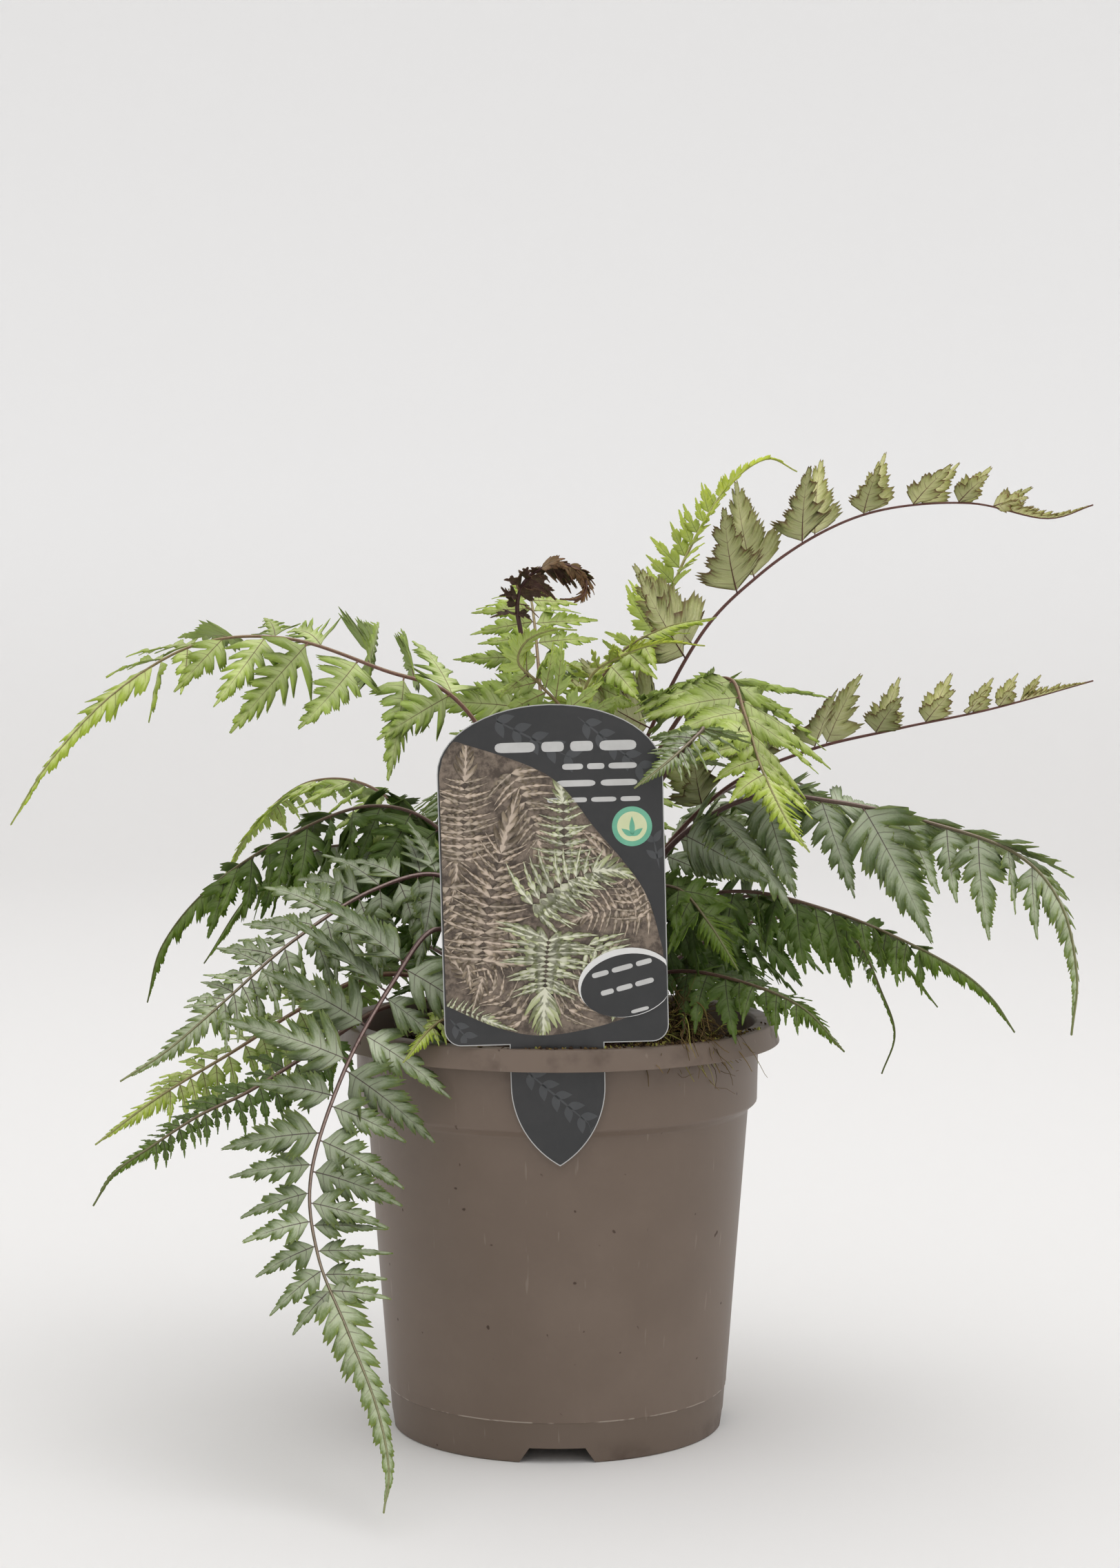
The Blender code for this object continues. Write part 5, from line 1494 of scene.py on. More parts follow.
# ------------------------------------------------------------------ what fills the pot
@dataclass(frozen=True)
class Compost:
    """The peat compost: a crumbly surface with loose chips of bark and fibre on it."""

    dip: float = 0.0015
    play: float = 0.0004           # room between the peat and the pot's wall
    foot_radius: float = 0.0590
    foot_rise: float = 0.0066      # from the pot's disc up to its raised floor
    chips: int = 1500
    fibres: int = 160

    def make_peat(self) -> bpy.types.Material:
        """Make dark peat, its chips browner and a few of them pale."""
        material, w, shader = new_material("peat", 0.95, 0.15)
        _, _, _, tone = w.attribute("place")
        where = w.coordinates()
        cloud = w.noise(where, 320.0, 5.0, 0.7)
        colour = w.mix(w.ramp(cloud, 0.35, 0.70), tint(26, 20, 16), tint(62, 46, 35))
        colour = w.mix(w.ramp(tone, 0.35, 0.80, 0.0, 0.85), colour, tint(104, 74, 50))
        colour = w.mix(w.ramp(tone, 0.94, 0.97), colour, tint(188, 180, 166))
        w.join(colour, shader["Base Color"])
        w.join(w.bump(cloud, 0.9, 0.0009), shader["Normal"])
        return material

    def build(self) -> bpy.types.Object:
        """Build the filled body, its crumbly top and the loose chips."""
        low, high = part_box("compost")
        edge = (high.x - low.x) / 2 - self.play
        top = high.z - 0.0012
        foot, rise = self.foot_radius, low.z + self.foot_rise
        profile = rounded([(0.0, low.z + 0.0002, 0.0), (foot * 0.45, low.z + 0.0002, 0.0),
                           (foot * 0.47, rise, 0.0), (foot, rise, 0.001),
                           (edge - 0.0050, top - 0.024, 0.0),
                           (edge, top - self.dip, 0.001), (0.0, top, 0.0)], 0.0022)

        def crumble(rings: np.ndarray) -> np.ndarray:
            """Raise and lower the top by two sizes of lumps."""
            open_top = np.clip((rings[..., 2] - top + 0.004) / 0.002, 0.0, 1.0)
            moved = rings.copy()
            moved[..., 2] += open_top * (0.0010 * lumps(rings, 0.012, 3)
                                         + 0.0006 * lumps(rings, 0.0035, 4))
            return moved

        shell = Shell()
        add_turned(shell, profile, 150, crumble)
        rng = np.random.default_rng(8)
        count = self.chips + self.fibres
        radius = (edge - 0.002) * np.sqrt(rng.uniform(0.0, 1.0, count))
        angle = rng.uniform(0.0, 2 * math.pi, count)
        centres = np.stack([radius * np.cos(angle), radius * np.sin(angle),
                            top + rng.uniform(-0.0004, 0.0012, count)], axis=1)
        sizes = rng.uniform(0.0004, 0.0016, (count, 1)) * rng.uniform(0.5, 1.3, (count, 3))
        sizes[self.chips:] = np.array([0.0042, 0.0004, 0.0003]) * rng.uniform(
            0.5, 1.3, (self.fibres, 1))
        add_chips(shell, centres, sizes, 9, rng.uniform(0.0, 1.0, count))
        return shell.build("compost_fill", [self.make_peat()], "compost", "compost")


@dataclass(frozen=True)
class Crown:
    """The crown: a knotted woody dome with papery scales and old cut stalks."""

    scales: int = 260
    stubs: int = 14

    def make_bark(self) -> bpy.types.Material:
        """Make the brown of crown and scales, streaked along each scale."""
        material, w, shader = new_material("crown_scale", 0.8, 0.25)
        across, along, _, tone = w.attribute("place")
        cloud = w.noise(w.coordinates(), 500.0, 4.0, 0.65)
        colour = w.mix(w.ramp(cloud, 0.3, 0.7), tint(58, 36, 26), tint(98, 66, 44))
        colour = w.mix(w.times(tone, w.ramp(along, 0.1, 0.9)), colour, tint(146, 108, 74))
        w.join(colour, shader["Base Color"])
        w.join(w.bump(cloud, 0.6, 0.0005), shader["Normal"])
        return material

    def build(self) -> bpy.types.Object:
        """Build the dome, its scales and the stubs of old stalks."""
        low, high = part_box("crown")
        centre = np.array([(low.x + high.x) / 2, (low.y + high.y) / 2, 0.0])
        radius = (high.x - low.x) / 2
        rise = high.z - low.z
        share = np.linspace(1.0, 0.0, 12)
        dome = np.stack([radius * share, low.z + 0.0015 + (rise - 0.0015) * (1 - share ** 2)],
                        axis=1)
        profile = np.vstack([[(0.0, low.z), (radius * 0.5, low.z), (radius, low.z)], dome])

        def knotted(rings: np.ndarray) -> np.ndarray:
            """Shift the dome onto the crown's place and roughen it."""
            moved = rings + centre
            moved[..., 2] -= 0.0004 * np.abs(lumps(rings, 0.005, 12))
            moved[..., 2] = np.maximum(moved[..., 2], low.z)
            return moved

        shell = Shell()
        add_turned(shell, profile, 60, knotted)
        rng = np.random.default_rng(14)
        grid_u = np.linspace(0.0, 1.0, 5)[:, None]
        grid_v = np.array([-1.0, 0.0, 1.0])[None, :]
        for _ in range(self.scales):
            reach = radius * math.sqrt(rng.uniform(0.02, 0.95))
            angle = rng.uniform(0.0, 2 * math.pi)
            out = heading(angle)
            base = centre + reach * out + UP * (
                low.z + 0.0012 + (rise - 0.0015) * (1 - (reach / radius) ** 2))
            way = unit(out * rng.normal(0.4, 0.5) + UP + 0.35 * rng.normal(size=3))
            flat = unit(np.cross(way, unit(rng.normal(size=3))))
            size = rng.uniform(0.003, 0.0085)
            width = size * rng.uniform(0.09, 0.16) * (1.0 - grid_u) ** 0.7
            bow = np.cross(way, flat) * rng.normal(0.0, 0.35) * size
            grid = (base + (grid_u * size)[..., None] * way + (width * grid_v)[..., None] * flat
                    + (grid_u ** 2 * np.ones_like(grid_v))[..., None] * bow)
            marks = np.zeros((5, 3, 4))
            marks[..., 1] = grid_u
            marks[..., 3] = rng.uniform(0.0, 1.0)
            shell.add_sheet(grid, 0.00008, np.cross(way, flat), marks, slots=(0, 0))
        for _ in range(self.stubs):
            reach = radius * math.sqrt(rng.uniform(0.1, 0.85))
            angle = rng.uniform(0.0, 2 * math.pi)
            out = heading(angle)
            base = centre + reach * out + UP * (low.z + 0.001)
            tip = base + unit(out * 0.7 + UP * 1.1) * rng.uniform(0.006, 0.014)
            line = smooth_route(np.stack([base, (base + tip) / 2 + out * 0.0008, tip]), 8)
            shell.add_tube(Rail.along(line, np.cross(out, UP)), np.linspace(0.0015, 0.0010, 8), 8)
        return shell.build("crown_knot", [self.make_bark()], "crown", "crown_scales")


@dataclass(frozen=True)
class Moss:
    """The tuft of moss and fibre beside the label, part of which hangs over the rim."""

    strands: int = 620
    hanging: int = 60
    litter: int = 500
    crumbs: int = 260
    rim_reach: float = 0.0812

    def make_fibre(self) -> bpy.types.Material:
        """Make fibre that goes from dark brown to yellow green, strand by strand."""
        material, w, shader = new_material("moss_fibre", 0.85, 0.2)
        _, along, _, tone = w.attribute("place")
        colour = w.mix(w.ramp(tone, 0.35, 0.75), tint(62, 46, 32), tint(128, 104, 58))
        colour = w.mix(w.ramp(tone, 0.74, 0.88), colour, tint(158, 160, 82))
        colour = w.mix(w.times(along, 0.3), colour, tint(140, 120, 76))
        w.join(colour, shader["Base Color"])
        return material

    def build(self) -> bpy.types.Object:
        """Build the tuft from curly strands.

        A strand is base + L * (u * way + curl * (sin, cos)(turns * u) * u * (1 - u / 2)),
        less the fall sag * u^2.
        """
        low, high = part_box("moss_tuft")
        middle = np.array([(low.x + high.x) / 2, (low.y + high.y) / 2, low.z])
        out = unit(middle * np.array([1.0, 1.0, 0.0]))
        along = np.array([-out[1], out[0], 0.0])
        rng = np.random.default_rng(17)
        u = np.linspace(0.0, 1.0, 11)[:, None]
        shell = Shell()
        for index in range(self.strands + self.hanging):
            over = index >= self.strands
            spread = rng.normal(0.0, 0.0070)
            base = (middle + along * spread + out * rng.uniform(-0.006, 0.004)
                    + UP * rng.uniform(0.002, 0.0200) * math.exp(-(spread / 0.011) ** 2))
            way = unit(0.9 * UP + rng.normal(size=3))
            size = rng.uniform(0.009, 0.022)
            sag = rng.uniform(0.0, 0.5)
            if over:
                base = base + out * 0.005 + UP * 0.005
                way = unit(out * 1.4 + UP * 0.55 + along * rng.normal(0.0, 0.8))
                size = rng.uniform(0.010, 0.019)
                sag = rng.uniform(0.7, 1.3)
            side = unit(np.cross(way, rng.normal(size=3)))
            other = np.cross(way, side)
            turns = rng.uniform(3.0, 9.0)
            phase = rng.uniform(0.0, 6.0)
            curl = rng.uniform(0.08, 0.34) * u * (1.0 - u / 2)
            line = base + size * (u * way + curl * np.sin(turns * u + phase) * side
                                  + curl * np.cos(turns * u + phase) * other - sag * u ** 2 * UP)
            marks = np.zeros((len(u), 4))
            marks[:, 1] = u[:, 0]
            marks[:, 3] = rng.uniform(0.0, 1.0)
            radii = np.full(len(u), rng.uniform(0.00014, 0.00040)) * (1.0 - 0.6 * u[:, 0])
            shell.add_tube(Rail.along(line, side), radii, 4, 0.0, marks)
        count = self.litter
        spread = rng.normal(0.0, 0.0085, count)
        centres = (middle + along * spread[:, None]
                   + out * rng.uniform(-0.007, 0.006, (count, 1))
                   + UP * (rng.uniform(0.0, 0.010, count)
                           * np.exp(-(spread / 0.012) ** 2))[:, None])
        add_chips(shell, centres, rng.uniform(0.0003, 0.0011, (count, 3)), 18,
                  rng.uniform(0.0, 0.8, count))
        reach = self.rim_reach * np.sqrt(rng.uniform(0.90, 1.0, self.crumbs))
        turn = np.radians(rng.normal(-56.0, 22.0, self.crumbs))
        crumbs = np.stack([reach * np.cos(turn), reach * np.sin(turn),
                           np.full(self.crumbs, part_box("pot")[1].z + 0.0002)], axis=1)
        add_chips(shell, crumbs, rng.uniform(0.0002, 0.0009, (self.crumbs, 3)), 19,
                  rng.uniform(0.0, 0.9, self.crumbs))
        return shell.build("moss_fibre_tuft", [self.make_fibre()], "moss_tuft", "moss")


# ------------------------------------------------------------------ the label
class Ink(Enum):
    """What is printed on the label: the material slots of its print."""

    GROUND = 0
    PICTURE = 1
    FERN = 2
    SPRIG = 3
    WHITE = 4
    GREY = 5
    MINT = 6
    CREAM = 7
    PALE_FERN = 8


@dataclass(frozen=True)
class PrintedFrond:
    """One small frond in the label's picture, in millimetres on the label."""

    route: tuple[tuple[float, float], ...]
    reach: float
    ahead: tuple[float, float]
    pairs: int
    sides: tuple[float, ...] = (-1.0, 1.0)
    ink: Ink = Ink.FERN
    tail: float = 0.62


PICTURE_FRONDS = (
    PrintedFrond(((-14, 98), (-8, 84), (-4, 70), (-2, 58)), 13, (10, 40), 10),
    PrintedFrond(((34, 50), (24, 48), (12, 46), (2, 42)), 12, (0, 40), 10),
    PrintedFrond(((-39, 92), (-36, 78), (-34, 64), (-36, 52)), 11, (10, 40), 9),
    PrintedFrond(((2, 10), (10, 18), (16, 28), (24, 38)), 11, (10, 45), 9),
    PrintedFrond(((-12, 8), (-20, 18), (-32, 26), (-39, 36)), 11, (10, 45), 9),
    PrintedFrond(((14, 76), (10, 66), (2, 60), (-8, 58)), 9, (10, 45), 9),
    PrintedFrond(((-31, 66), (-31, 80), (-30, 97), (-29, 112)), 15, (4, 10), 12),
    PrintedFrond(((4, 62), (4.5, 76), (4, 90), (2, 101)), 13, (4, 12), 9,
                 ink=Ink.PALE_FERN),
    PrintedFrond(((30, 44), (26, 56), (19, 67), (11, 76)), 9, (10, 40), 9),
    PrintedFrond(((-37, 58), (-33, 44), (-31, 30), (-30, 20)), 13, (10, 40), 8),
    PrintedFrond(((-14, 44), (-20, 34), (-26, 24), (-30, 12)), 11, (20, 50), 8),
    PrintedFrond(((12, 36), (18, 30), (22, 18), (20, 8)), 12, (20, 50), 8,
                 ink=Ink.PALE_FERN),
    PrintedFrond(((-40, 13), (-31, 12), (-22, 8), (-14, 5)), 6, (20, 45), 8,
                 ink=Ink.PALE_FERN, tail=0.5),
    PrintedFrond(((-26, 30), (-24, 45), (-20, 62), (-16, 76), (-11, 92)), 18, (-8, 55), 13),
    PrintedFrond(((-8, 50), (2, 57), (12, 61), (21, 62), (29, 59)), 17, (-6, 50), 9,
                 sides=(-1.0, -0.6, 1.0), ink=Ink.PALE_FERN),
    PrintedFrond(((-2, 38), (-3, 30), (-4, 17), (-5, 3)), 20, (-22, 50), 11,
                 ink=Ink.PALE_FERN, tail=0.5),
)


@dataclass(frozen=True)
class Label:
    """The plant label: a card with a pointed tab, and its print in thin layers."""

    width: float = 80.0
    body: float = 121.5
    arch: float = 24.0
    corner: float = 6.0
    tab: float = 33.8
    tab_length: float = 44.5
    point: float = 29.5
    seat: float = 1.7
    tilt: float = 1.5
    lean: float = 2.3
    thickness: float = 0.5
    border: float = 0.35
    ink_depth: float = 0.02
    layer: float = 0.035
    badge: tuple[float, float] = (28.6, 77.4)
    small_frond: float = 13.0      # printed fronds of less reach have fewer lobes
    collar_gap: float = 8.0        # from the pot's lip back to its collar
    slot_gap: float = 1.25         # from the collar out to the slot

    def half_at(self, height: np.ndarray, inset: float = 0.0) -> np.ndarray:
        """Give half the width at heights above the body's lower edge, in millimetres.

        Args:
            height: Heights, negative on the tab.
            inset: How far inside the card's edge.

        Returns:
            Half widths.
        """
        half, tab = self.width / 2, self.tab / 2
        bend = (self.point ** 2 + tab ** 2) / (2 * tab)
        lowest = self.point - self.tab_length
        below = np.minimum(height - lowest, 0.0)
        ogive = tab - bend + np.sqrt(np.maximum((bend - inset) ** 2 - below ** 2, 0.0))
        radius = self.corner - inset
        turn = np.clip((self.corner - height) / radius, 0.0, 1.0)
        low = half - self.corner + radius * np.sqrt(1.0 - turn ** 2)
        over = np.clip((height - (self.body - self.arch)) / (self.arch - inset), 0.0, 1.0)
        high = (half - inset) * np.sqrt(1.0 - over ** 2)
        return np.where(height < inset, np.maximum(ogive, 0.0), np.minimum(low, high))

    def levels(self, inset: float) -> np.ndarray:
        """Place the rows of a grid over the whole card, close where its edge bends."""
        bend = np.linspace(0.0, math.pi / 2, 14)
        tab = -self.tab_length + self.point * np.linspace(0.0, 1.0, 16) ** 1.3
        tab[0] += inset * 1.4 + 0.05
        foot = self.corner - (self.corner - inset) * np.cos(bend[1:8] * 13 / 7)
        arch = self.body - self.arch + (self.arch - inset) * np.sin(bend * 0.995)
        return np.concatenate([tab, [inset - 0.01, inset + 0.01], foot, arch])

    def face(self, inset: float) -> np.ndarray:
        """Draw a grid over the whole card, its edge moved in by an inset."""
        height = self.levels(inset)
        columns = np.linspace(-1.0, 1.0, 9)[None, :]
        return np.stack([self.half_at(height, inset)[:, None] * columns,
                         np.broadcast_to(height[:, None], (len(height), 9))], axis=-1)

    def lay(self, flat: np.ndarray, proud: float) -> np.ndarray:
        """Put points given on the label into the pot's frame.

        The label turns by its tilt in its own plane, then leans forward.

        Args:
            flat: Across and height in millimetres, any shape by 2.
            proud: How far in front of the card's middle plane, in millimetres.

        Returns:
            The points in metres.
        """
        tilt, lean = math.radians(self.tilt), math.radians(self.lean)
        low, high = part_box("pot")
        slot = -((high.x - low.x) / 2 / MM - self.collar_gap + self.slot_gap)
        height = flat[..., 1] + self.seat
        across = flat[..., 0] * math.cos(tilt) - height * math.sin(tilt)
        up = flat[..., 0] * math.sin(tilt) + height * math.cos(tilt)
        return np.stack([across, slot - up * math.sin(lean) - proud * math.cos(lean),
                         high.z / MM + up * math.cos(lean) - proud * math.sin(lean)],
                        axis=-1) * MM

    def front(self) -> np.ndarray:
        """Give the direction that the label looks along."""
        lean = math.radians(self.lean)
        return np.array([0.0, -math.cos(lean), -math.sin(lean)])

    def picture_top(self, across: np.ndarray) -> np.ndarray:
        """Give the height of the picture's upper edge: its own curve, under the arch."""
        curve = smooth_route(np.array([(-40, 112, 0), (-35.2, 109.9, 0), (-1, 96.5, 0),
                                       (15.6, 76.9, 0), (32.2, 54.7, 0), (38.8, 32, 0)],
                                      dtype=float), 60)
        half, rise = self.width / 2 - 0.9, self.arch - 0.9
        over = np.sqrt(np.maximum(1.0 - (across / half) ** 2, 0.0))
        return np.minimum(np.interp(across, curve[:, 0], curve[:, 1]),
                          self.body - self.arch + rise * over)

    def picture_foot(self, across: np.ndarray) -> np.ndarray:
        """Give the height of the picture's lower edge."""
        curve = smooth_route(np.array([(-40, 15, 0), (-37.6, 13.9, 0), (-20, 6, 0),
                                       (-2.4, 3.2, 0), (22.7, 8.1, 0), (34, 16, 0),
                                       (38.8, 31, 0)], dtype=float), 60)
        return np.interp(across, curve[:, 0], curve[:, 1])

    def put(self, shell: Shell, flat: np.ndarray, level: int, ink: Ink,
            tone: float = 0.5) -> None:
        """Lay one closed patch of ink on the card.

        Args:
            shell: The print's mesh.
            flat: A grid of points on the label, in millimetres.
            level: The layer it lies in, 1 or more.
            ink: Its material slot.
            tone: A mark for the material.
        """
        proud = self.thickness / 2 + self.layer * level
        marks = np.full(flat.shape[:2] + (4,), tone)
        shell.add_sheet(self.lay(flat, proud), self.ink_depth * MM, self.front(), marks,
                        slots=(ink.value, ink.value), smooth=False)

    def disc(self, centre: tuple[float, float], radii: tuple[float, float],
             slant: float = 0.0) -> np.ndarray:
        """Draw a filled ellipse: the square (u, v) as (u * sqrt(1 - v^2 / 2), and so on)."""
        u, v = np.meshgrid(np.linspace(-1, 1, 13), np.linspace(-1, 1, 13), indexing="ij")
        x = radii[0] * u * np.sqrt(1.0 - v ** 2 / 2)
        y = radii[1] * v * np.sqrt(1.0 - u ** 2 / 2)
        turn = math.radians(slant)
        flat = np.stack([centre[0] + x * math.cos(turn) - y * math.sin(turn),
                         centre[1] + x * math.sin(turn) + y * math.cos(turn)], axis=-1)
        limit = self.half_at(flat[..., 1], self.border)
        flat[..., 0] = np.clip(flat[..., 0], -limit, limit)
        return flat

    def leaf(self, foot: np.ndarray, angle: float, length: float,
             half: float) -> np.ndarray:
        """Draw a pointed leaf: its half width is half * sin(pi * u^0.8)."""
        u = np.linspace(0.0, 1.0, 9)[:, None]
        v = np.linspace(-1.0, 1.0, 3)[None, :]
        way = heading(math.radians(angle))[:2]
        width = half * (np.sin(math.pi * u ** 0.8) + 0.02)
        return (foot + (u * length * np.ones_like(v))[..., None] * way
                + (width * v)[..., None] * np.array([-way[1], way[0]]))

    def add_sprig(self, shell: Shell, foot: tuple[float, float], angle: float,
                  length: float, pairs: int, size: float) -> None:
        """Print a sprig in the paler charcoal: a thin stem and pairs of leaves.

        Args:
            shell: The print's mesh.
            foot: The stem's start.
            angle: Its direction in degrees.
            length: Its length.
            pairs: How many pairs of leaves.
            size: Length of one leaf.
        """
        way = heading(math.radians(angle))[:2]
        start = np.array(foot)
        self.put(shell, self.kept(self.leaf(start, angle, length, 0.35)), 2, Ink.SPRIG)
        for index in range(pairs):
            at = start + way * length * (index + 0.5) / pairs
            for sign in (-1.0, 1.0):
                grid = self.leaf(at + way * 0.8, angle + 42.0 * sign, size, size * 0.24)
                self.put(shell, self.kept(grid), 2, Ink.SPRIG)

    def kept(self, flat: np.ndarray) -> np.ndarray:
        """Keep points inside the printed part of the card."""
        limit = self.half_at(flat[..., 1], self.border + 0.4)
        held = flat.copy()
        held[..., 0] = np.clip(held[..., 0], -limit, limit)
        return held

    def add_words(self, shell: Shell, left: float, right: float, low: float, high: float,
                  ink: Ink, seed: int, level: int = 2, slant: float = 0.0) -> None:
        """Stand in for a line of wording with a row of plain bars, one for each word.

        Args:
            shell: The print's mesh.
            left: Where the line starts.
            right: Where it ends.
            low: The line's foot.
            high: Its top.
            ink: The colour.
            seed: Choice of the words' lengths.
            level: The layer.
            slant: Turn of the whole line, in degrees.
        """
        rng = np.random.default_rng(seed)
        size = high - low
        widths = size * rng.uniform(1.6, 3.4, 12)
        total, count = 0.0, 0
        while total < right - left and count < len(widths):
            total += widths[count] + size * 0.45
            count += 1
        scale = (right - left) / (total - size * 0.45)
        across = left
        u = np.sin(np.linspace(-1.0, 1.0, 13) * math.pi / 2)
        round_off = (1.0 - np.abs(u) ** 8) ** 0.5 * 0.99 + 0.01
        turn = math.radians(slant)
        for width in widths[:count] * scale:
            half = (np.array([-1.0, 1.0])[None, :] * round_off[:, None]) * size * 0.27
            x = (across + (u + 1.0) / 2 * width - left)[:, None] * np.ones((1, 2))
            y = half + size * 0.5
            self.put(shell, np.stack([left + x * math.cos(turn) - y * math.sin(turn),
                                      low + x * math.sin(turn) + y * math.cos(turn)],
                                     axis=-1), level, ink)
            across += width + size * 0.45 * scale

    def add_frond(self, shell: Shell, frond: PrintedFrond, level: int) -> None:
        """Print one small frond of the picture, cut off at the picture's edges.

        Args:
            shell: The print's mesh.
            frond: Its route and habit.
            level: The layer it lies in.
        """
        rng = np.random.default_rng(60 + level)
        part = Shell()
        flat = np.array([(x, y, 0.0) for x, y in frond.route], dtype=float)
        rail = Rail.along(smooth_route(flat, 61), np.array([1.0, 0.3, 0.0]))
        side = np.stack([-rail.forward[:, 1], rail.forward[:, 0],
                         np.zeros(len(rail.forward))], axis=1)
        rail = Rail(rail.points, rail.forward, side,
                    np.broadcast_to(np.array([0.0, 0.0, 1.0]), side.shape))
        for share in np.linspace(0.02, frond.tail, frond.pairs):
            for sign in frond.sides:
                at = rail.at(np.array([share]))
                ahead = math.radians(blend(frond.ahead[0], frond.ahead[1], share)
                                     + rng.normal(0.0, 4.0) + 26.0 * (abs(sign) < 1.0))
                way = (math.copysign(1.0, sign) * at.side[0] * math.cos(ahead)
                       + at.forward[0] * math.sin(ahead))
                size = frond.reach * (1.0 - share) ** 0.7 * rng.uniform(0.88, 1.08)
                u = np.linspace(0.0, 1.0, 12)[:, None]
                sweep = at.forward[0] * 0.16 * size * u ** 2
                line = Rail.along(at.points[0] + u * size * way + sweep,
                                  np.array([-way[1], way[0], 0.0]))
                cut = Lobing(lobes=4 if frond.reach < self.small_frond else 5, rays=4,
                             neck=(0.35, 0.75), tooth=0.0, cup=0.0, curl=0.0, tilt=0.0,
                             wave=0.0, lean=(60.0, 30.0))
                add_blade(part, line, size * 0.23, cut, 0.0, rng.uniform(0.0, 1.0),
                          (0.2, 0.8), 0.02, rng)
        tail = rail.at(np.linspace(frond.tail, 1.0, 20))
        cut = Lobing(lobes=7, rays=4, neck=(0.3, 0.6), tooth=0.0, cup=0.0, curl=0.0,
                     tilt=0.0, wave=0.0, lean=(60.0, 30.0))
        add_blade(part, tail, frond.reach * (1.0 - frond.tail) ** 0.7, cut, 0.0, 0.6,
                  (0.5, 1.0), 0.02, rng)
        for points, place, span, faces in zip(part.points, part.place, part.span,
                                              self.grouped(part)):
            held = points[:, :2].copy()
            held[:, 0] = np.clip(held[:, 0], 0.9 - self.width / 2, 38.4)
            held[:, 1] = np.clip(held[:, 1], self.picture_foot(held[:, 0]) + 0.2,
                                 self.picture_top(held[:, 0]) - 0.2)
            proud = self.thickness / 2 + self.layer * level
            below = points[:, 2] < -0.01
            marks = span.copy()
            marks[:, 0] /= MM
            solid = np.where(below[:, None], self.lay(held, proud - self.ink_depth),
                             self.lay(held, proud))
            first = shell.add_points(solid, place, marks)
            for block in faces:
                shell.add_faces(first + block, frond.ink.value, smooth=False)

    @staticmethod
    def grouped(part: Shell) -> list[list[np.ndarray]]:
        """Give the faces of each body in a shell, counted from that body's first point."""
        starts = np.cumsum([0] + [len(points) for points in part.points])
        return [[block - start for block in part.faces[3 * index:3 * index + 3]]
                for index, start in enumerate(starts[:-1])]

    def make_inks(self, paint: "LeafPaint") -> list[bpy.types.Material]:
        """Make one material for each ink."""
        made = []
        for ink, colour, other in (
                (Ink.GROUND, tint(48, 49, 50), tint(53, 53, 54)),
                (Ink.PICTURE, tint(74, 63, 54), tint(132, 118, 104)),
                (Ink.FERN, tint(146, 130, 108), tint(210, 192, 174)),
                (Ink.SPRIG, tint(70, 72, 74), tint(75, 77, 79)),
                (Ink.WHITE, tint(226, 226, 224), tint(232, 232, 230)),
                (Ink.GREY, tint(196, 196, 194), tint(206, 206, 204)),
                (Ink.MINT, tint(104, 178, 148), tint(120, 190, 160)),
                (Ink.CREAM, tint(214, 222, 176), tint(222, 228, 186)),
                (Ink.PALE_FERN, tint(180, 188, 134), tint(234, 234, 210))):
            material, w, shader = new_material("ink_%s" % ink.name.lower(), 0.36, 0.45)
            where = w.coordinates()
            if ink in (Ink.FERN, Ink.PALE_FERN):
                reach, across, along, tone = w.attribute("place")
                distance, _, _, _ = w.attribute("span")
                marks = paint.marking.use(w, reach=reach, across=across, along=along,
                                          distance=w.times(distance, 1.4), grain=0.5, spread=0.8)
                colour = w.mix(marks["flush"], colour, other)
                colour = w.mix(w.times(marks["costa"], 0.75), colour, tint(138, 74, 88))
                colour = w.mix(w.ramp(tone, 0.0, 1.0, 0.35, 0.0), colour, tint(84, 84, 66))
                w.join(colour, shader["Base Color"])
            else:
                cloud = w.noise(where, 260.0 if ink is Ink.PICTURE else 60.0, 4.0, 0.7)
                w.join(w.mix(w.ramp(cloud, 0.35, 0.65), colour, other), shader["Base Color"])
            w.join(w.bump(w.noise(where, 900.0, 2.0), 0.06, 0.0001), shader["Normal"])
            made.append(material)
        return made

    def build(self, paint: "LeafPaint") -> list[bpy.types.Object]:
        """Build the card and its print.

        Args:
            paint: The leaf materials, whose marking the printed ferns share.

        Returns:
            The card and the print.
        """
        card = Shell()
        card.add_sheet(self.lay(self.face(0.0), self.thickness / 2), self.thickness * MM,
                       self.front(), slots=(0, 0), smooth=False)
        plastic, w, shader = new_material("label_card", 0.38, 0.45)
        cloud = w.noise(w.coordinates(), 40.0, 3.0)
        w.join(w.mix(w.ramp(cloud, 0.3, 0.7), tint(176, 177, 176), tint(190, 190, 188)),
               shader["Base Color"])
        w.join(w.bump(w.noise(w.coordinates(), 1200.0, 2.0), 0.10, 0.0001), shader["Normal"])
        body = card.build("label_card", [plastic], "label", "label_plastic")

